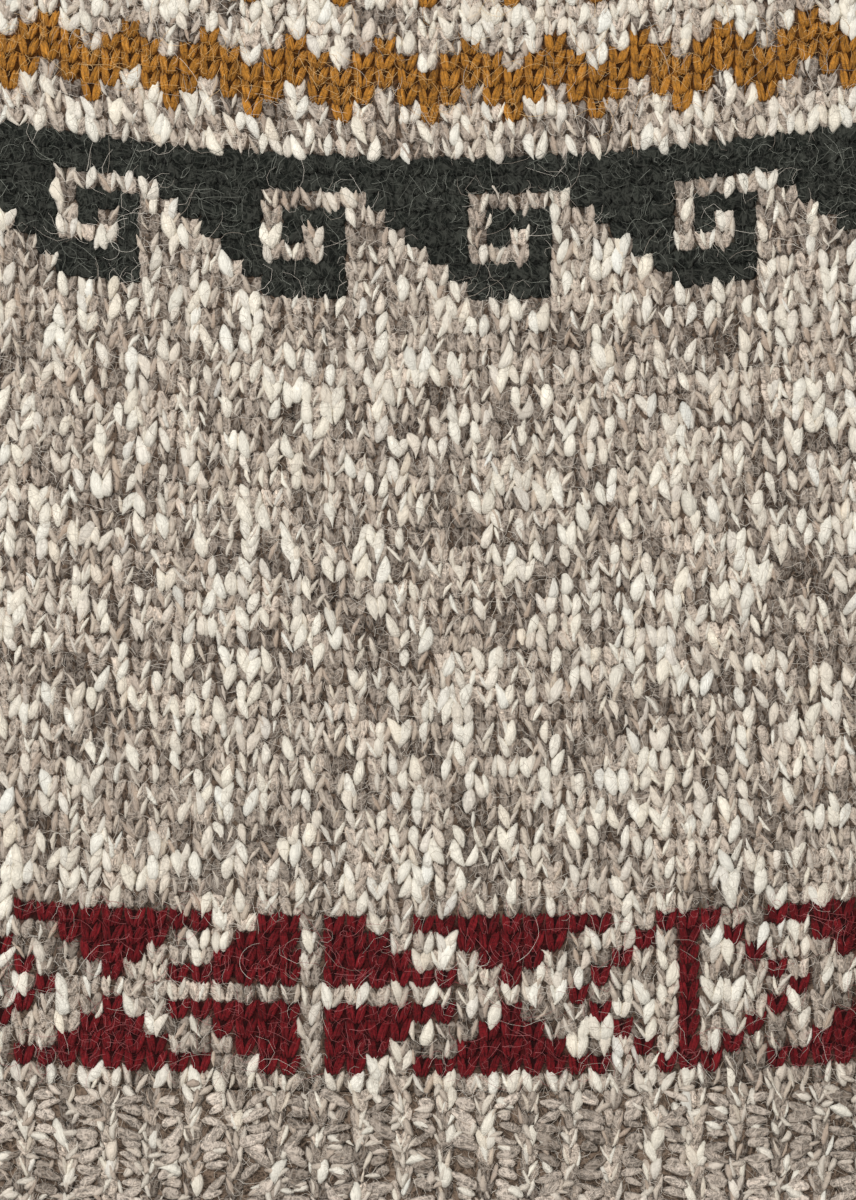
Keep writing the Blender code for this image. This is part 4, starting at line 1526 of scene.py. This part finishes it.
knit, purl = np.arange(-10, 11), np.arange(-11, 11) + 0.5
rows = (0, NECK_ROWS)
arrays = plain_rib(band_surface, 1, knit, purl, rows, dice, NECK_SPREAD)
make_piece("neckband_stitches", *arrays, "cream_ply", "rib_wool")
inner = plain_rib(band_back(WALL), 1, purl, knit, rows, dice, NECK_SPREAD)
under = plain_rib(band_back(0.0), -1, knit, purl, rows, dice, NECK_SPREAD, True)
make_piece("neckband_back_stitches", *join([inner, under]), "cream_ply", "rib_wool")

# %% [markdown]
# ## The inside of the back
#
# Through the neck opening the inside of the back shows, and the inside of plain knitting is rows of
# purl bumps. A smooth wall with a bump map would look flat at the edge of the neck, so the bumps are
# real here too, but only where the opening lets them show.

# %% Purl bumps inside the back
INSIDE_ROWS = (74, 98)
INSIDE_REACH = 0.46


def back_inside(wale, row):
    """Points on the inner side of the back."""
    x, y = body_plan(wale, row)
    return lay(x, y, WALL)


wale, row = grid_of(np.arange(-16, 17), np.arange(*INSIDE_ROWS))
x, y = body_plan(wale, row)
shows = (neck_room(x, y, BACK_NECK) > SEAM_CLEARANCE) & (neck_room(x, y, FRONT_NECK) < 0.01)
shows &= side_room(x, y, BACK_NECK) > SEAM_CLEARANCE
bumps = rib_bumps(back_inside, 1, wale[shows], row[shows], dice, 2, 4, reach=INSIDE_REACH)
make_piece("back_inside_stitches", *bumps, "taupe_ply", "marled_wool")

# %% [markdown]
# ## The raglan seams
#
# A raglan seam is sewn with a mattress stitch that pulls the edge stitches together, and it reads
# as one more column of V's on the slant. A row of real seam thread wouldn't show, so the column is
# all that is made, on the upper and the lower side.

# %% Raglan seams
SEAM_SPREAD = 0.8


def seam_run(neck):
    """The lower end of a raglan seam in plan, its direction and its length."""
    low, high = np.array(raglan_end(0.0, neck)), np.array(raglan_end(1.0, neck))
    length = np.linalg.norm(high - low)
    return low, (high - low) / length, length


def seam_surface(side, neck, height):
    """A raglan seam's face: wale 0 runs up the seam, row 0 is at the underarm."""
    def place(wale, row):
        low, run = seam_run(neck)[:2]
        x = low[0] + run[0] * row * ROW + run[1] * wale * WALE
        y = low[1] + run[1] * row * ROW - run[0] * wale * WALE
        x = side * x
        return lay(x, y, height + (fold_lift(x, y) if height > 0 else 0.0))
    return place


parts = []
for side in (1.0, -1.0):
    for neck, height in ((FRONT_NECK, FRONT_OUT), (BACK_NECK, 0.0)):
        row = np.arange(0, int(seam_run(neck)[2] / ROW))
        outward = side if height > 0 else -side
        flat = {} if height > 0 else {"thickness": UNDER_THICKNESS, "sink": UNDER_SINK}
        surface = seam_surface(side, neck, height)
        flat["spread"] = SEAM_SPREAD
        parts.append(plain_marl(surface, outward, np.zeros(len(row)), row, 2, 4, dice, **flat))
make_piece("raglan_seam_stitches", *join(parts), "cream_ply", "marled_wool")

# %% [markdown]
# ## Loose fibres
#
# Wool sheds a halo of fine curling fibres. They are what makes hand knitting look soft, and they
# show best over the dark green. Each is a thin ribbon that wanders across the cloth just above the
# stitches. Blender's hair would draw them too, but it stays behind when the model is exported.

# %% Halo of fibres
HAIR_STEPS = 4
HAIR_WIDTH = 0.00012
HAIR_COUNT = 12000
HAIR_DARK, HAIR_LIGHT = seen(150, 138, 126), seen(226, 218, 206)
HAIR_STRAND_SCALE = 1000.0
KEPT_ON_NATURAL = 1.50


def ribbons(x, y, length, heading, curl, tone, steps, low, hump, dice):
    """Thin curling ribbons that start at plan places and wander over the front."""
    count = len(x)
    spine = []
    for k in range(steps + 1):
        share = k / steps
        z = FRONT_OUT + low + hump * math.sin(math.pi * share)
        spine.append(lay(x, y, z + fold_lift(x, y)))
        x = x + np.cos(heading) * length / steps
        y = y + np.sin(heading) * length / steps
        heading = heading + curl + dice.normal(0.0, 1.1 / steps, count)
    spine = np.stack(spine, axis=1)
    way = np.gradient(spine, axis=1)
    side = np.stack((-way[..., 1], way[..., 0], np.zeros(way.shape[:2])), axis=-1)
    side = side / np.linalg.norm(side, axis=-1, keepdims=True)
    taper = np.linspace(1.0, 0.45, steps + 1)[None, :, None]
    half = side * HAIR_WIDTH / 2 * taper
    points = np.stack((spine - half, spine + half), axis=2).reshape(count, -1, 3)
    strip = []
    for k in range(steps):
        strip.append((2 * k, 2 * k + 1, 2 * k + 3))
        strip.append((2 * k, 2 * k + 3, 2 * k + 2))
    faces = np.array(strip)[None] + (np.arange(count) * 2 * (steps + 1))[:, None, None]
    tones = np.broadcast_to(tone[:, None], points.shape)
    return points, faces.reshape(-1, 3), tones, points * HAIR_STRAND_SCALE


def halo(count, dice):
    """Short fibres over the part of the front in view, more of them on the dyed bands."""
    tries = 2 * count
    x = dice.uniform(-1.0, 1.0, tries) * (VIEW_SIZE[0] / 2 + VIEW_MARGIN)
    y = VIEW_MIDDLE + dice.uniform(-1.0, 1.0, tries) * (VIEW_SIZE[1] / 2 + VIEW_MARGIN)
    wale, row = body_grid(x, y)
    yarn = yarn_of(np.rint(wale).astype(int), np.floor(row).astype(int))
    kept = (yarn != NATURAL_YARN) | (dice.uniform(0.0, 1.0, tries) < KEPT_ON_NATURAL / 2)
    kept = np.flatnonzero(kept)[:count]
    x, y, yarn = x[kept], y[kept], yarn[kept]
    light = dice.uniform(0.0, 1.0, (len(kept), 1))
    over = {
        GREEN_YARN: GREEN * 1.6 + (seen(146, 148, 138) - GREEN) * light**2,
        RED_YARN: RED + (seen(184, 116, 116) - RED) * light**1.5,
        MUSTARD_YARN: MUSTARD + (seen(226, 192, 140) - MUSTARD) * light,
    }
    tone = HAIR_DARK + (HAIR_LIGHT - HAIR_DARK) * light
    for dyed, fibre in over.items():
        tone = np.where((yarn == dyed)[:, None], fibre, tone)
    number = len(kept)
    return ribbons(
        x, y, dice.gamma(3.0, 0.0020, number) + 0.002, dice.uniform(0.0, math.tau, number),
        dice.normal(0.0, 0.70, number), tone, HAIR_STEPS,
        dice.uniform(-0.0002, 0.0007, number), dice.uniform(0.0, 0.0009, number), dice,
    )


# %% [markdown]
# ## Long stray fibres
#
# Here and there one long hair lies loose across the bands. Chance rarely gives a good curve, so
# these few are listed: where each starts, how long it is, where it heads and how far it turns on
# its way.

# %% A few long stray fibres
STRAYS = (
    (-0.105, 0.376, 0.034, 190.0, 330.0),
    (-0.1135, 0.366, 0.016, 60.0, -300.0),
    (-0.112, 0.329, 0.019, -35.0, 60.0),
    (-0.087, 0.432, 0.024, -40.0, -70.0),
    (0.060, 0.404, 0.022, 110.0, 120.0),
    (0.118, 0.372, 0.026, 200.0, -90.0),
    (0.031, 0.116, 0.020, 30.0, 100.0),
    (-0.062, 0.110, 0.018, 150.0, -140.0),
)
STRAY_STEPS = 18
x, y, length, heading, turn = np.array(STRAYS).T
pale = np.broadcast_to(seen(216, 210, 198), (len(STRAYS), 3))
long_ones = ribbons(
    x, y, length, np.radians(heading), np.radians(turn) / STRAY_STEPS, pale, STRAY_STEPS,
    np.full(len(STRAYS), 0.0011), np.full(len(STRAYS), 0.0006), dice,
)
make_piece("front_loose_fibres", *join([halo(HAIR_COUNT, dice), long_ones]), "loose", "marled_wool")

# %% [markdown]
# ## The flat area of the cloth
#
# The walls are the real sheets of cloth. For each, its true flat area is printed, with its share of
# the rectangle it was knitted within.


for piece, size, area, held, rests_on in SHEETS:
    share = area / (size[0] * size[1])
    print(piece.name, "flat area", round(area, 4), "share of its rectangle", round(share, 3))

# %% [markdown]
# ## Table and light
#
# The table is plain and pale and runs to the horizon in a sky of the same tone. Light comes soft
# from a large panel above and a little to the upper left, as in a photograph by a window. A smaller
# lamp would cut hard shadows between the stitches, which soft wool doesn't show.

# %% Table and light
TABLE_SIZE = 60.0
TABLE_GAP = 0.0004
PALE = (0.80, 0.785, 0.76)
TABLE_ROUGHNESS = 0.85
SKY_STRENGTH = 0.70
LAMP_SIZE = (1.8, 1.4)
LAMP_WATTS = 38.0
LAMP_PLACE = (-0.75, 0.70, 1.9)
LAMP_TILT = (-22.0, -21.0)

mesh = bpy.data.meshes.new("table")
half = TABLE_SIZE / 2
corners = [(x * half, y * half, -TABLE_GAP) for x, y in ((-1, -1), (1, -1), (1, 1), (-1, 1))]
mesh.from_pydata(corners, [], [(0, 1, 2, 3)])
table = bpy.data.objects.new("table", mesh)
bpy.context.collection.objects.link(table)
finish = bpy.data.materials.new("table_top")
finish.use_nodes = True
shader = finish.node_tree.nodes["Principled BSDF"]
shader.inputs["Base Color"].default_value = (*PALE, 1.0)
shader.inputs["Roughness"].default_value = TABLE_ROUGHNESS
mesh.materials.append(finish)

scene = bpy.context.scene
scene.world = bpy.data.worlds.new("studio")
scene.world.use_nodes = True
sky = scene.world.node_tree.nodes["Background"]
sky.inputs["Color"].default_value = (*PALE, 1.0)
sky.inputs["Strength"].default_value = SKY_STRENGTH

lamp = bpy.data.lights.new("window", "AREA")
lamp.shape = "RECTANGLE"
lamp.size, lamp.size_y = LAMP_SIZE
lamp.energy = LAMP_WATTS
window = bpy.data.objects.new("window", lamp)
bpy.context.collection.objects.link(window)
window.location = LAMP_PLACE
window.rotation_euler = (math.radians(LAMP_TILT[0]), math.radians(LAMP_TILT[1]), 0.0)
window.visible_camera = False

# %% [markdown]
# ## The camera
#
# The picture is a view from straight above, framed on the middle of the front. The lens length
# follows from the camera's height and the height of the view, so changing one number keeps the
# framing. A camera this far away sees the stitches at the corners almost as it sees the middle.

# %% Camera
CAMERA_HEIGHT = 1.0
SENSOR = 0.036

lens = bpy.data.cameras.new("camera")
lens.sensor_fit = "AUTO"
lens.sensor_width = SENSOR * 1000
lens.lens = SENSOR * CAMERA_HEIGHT / VIEW_SIZE[1] * 1000
camera = bpy.data.objects.new("camera", lens)
bpy.context.collection.objects.link(camera)
camera.location = (0.0, VIEW_MIDDLE - HEM_TO_ORIGIN, FRONT_OUT + CAMERA_HEIGHT)
scene.camera = camera
scene.view_settings.view_transform = "Standard"
print("lens", round(lens.lens, 1), "mm")
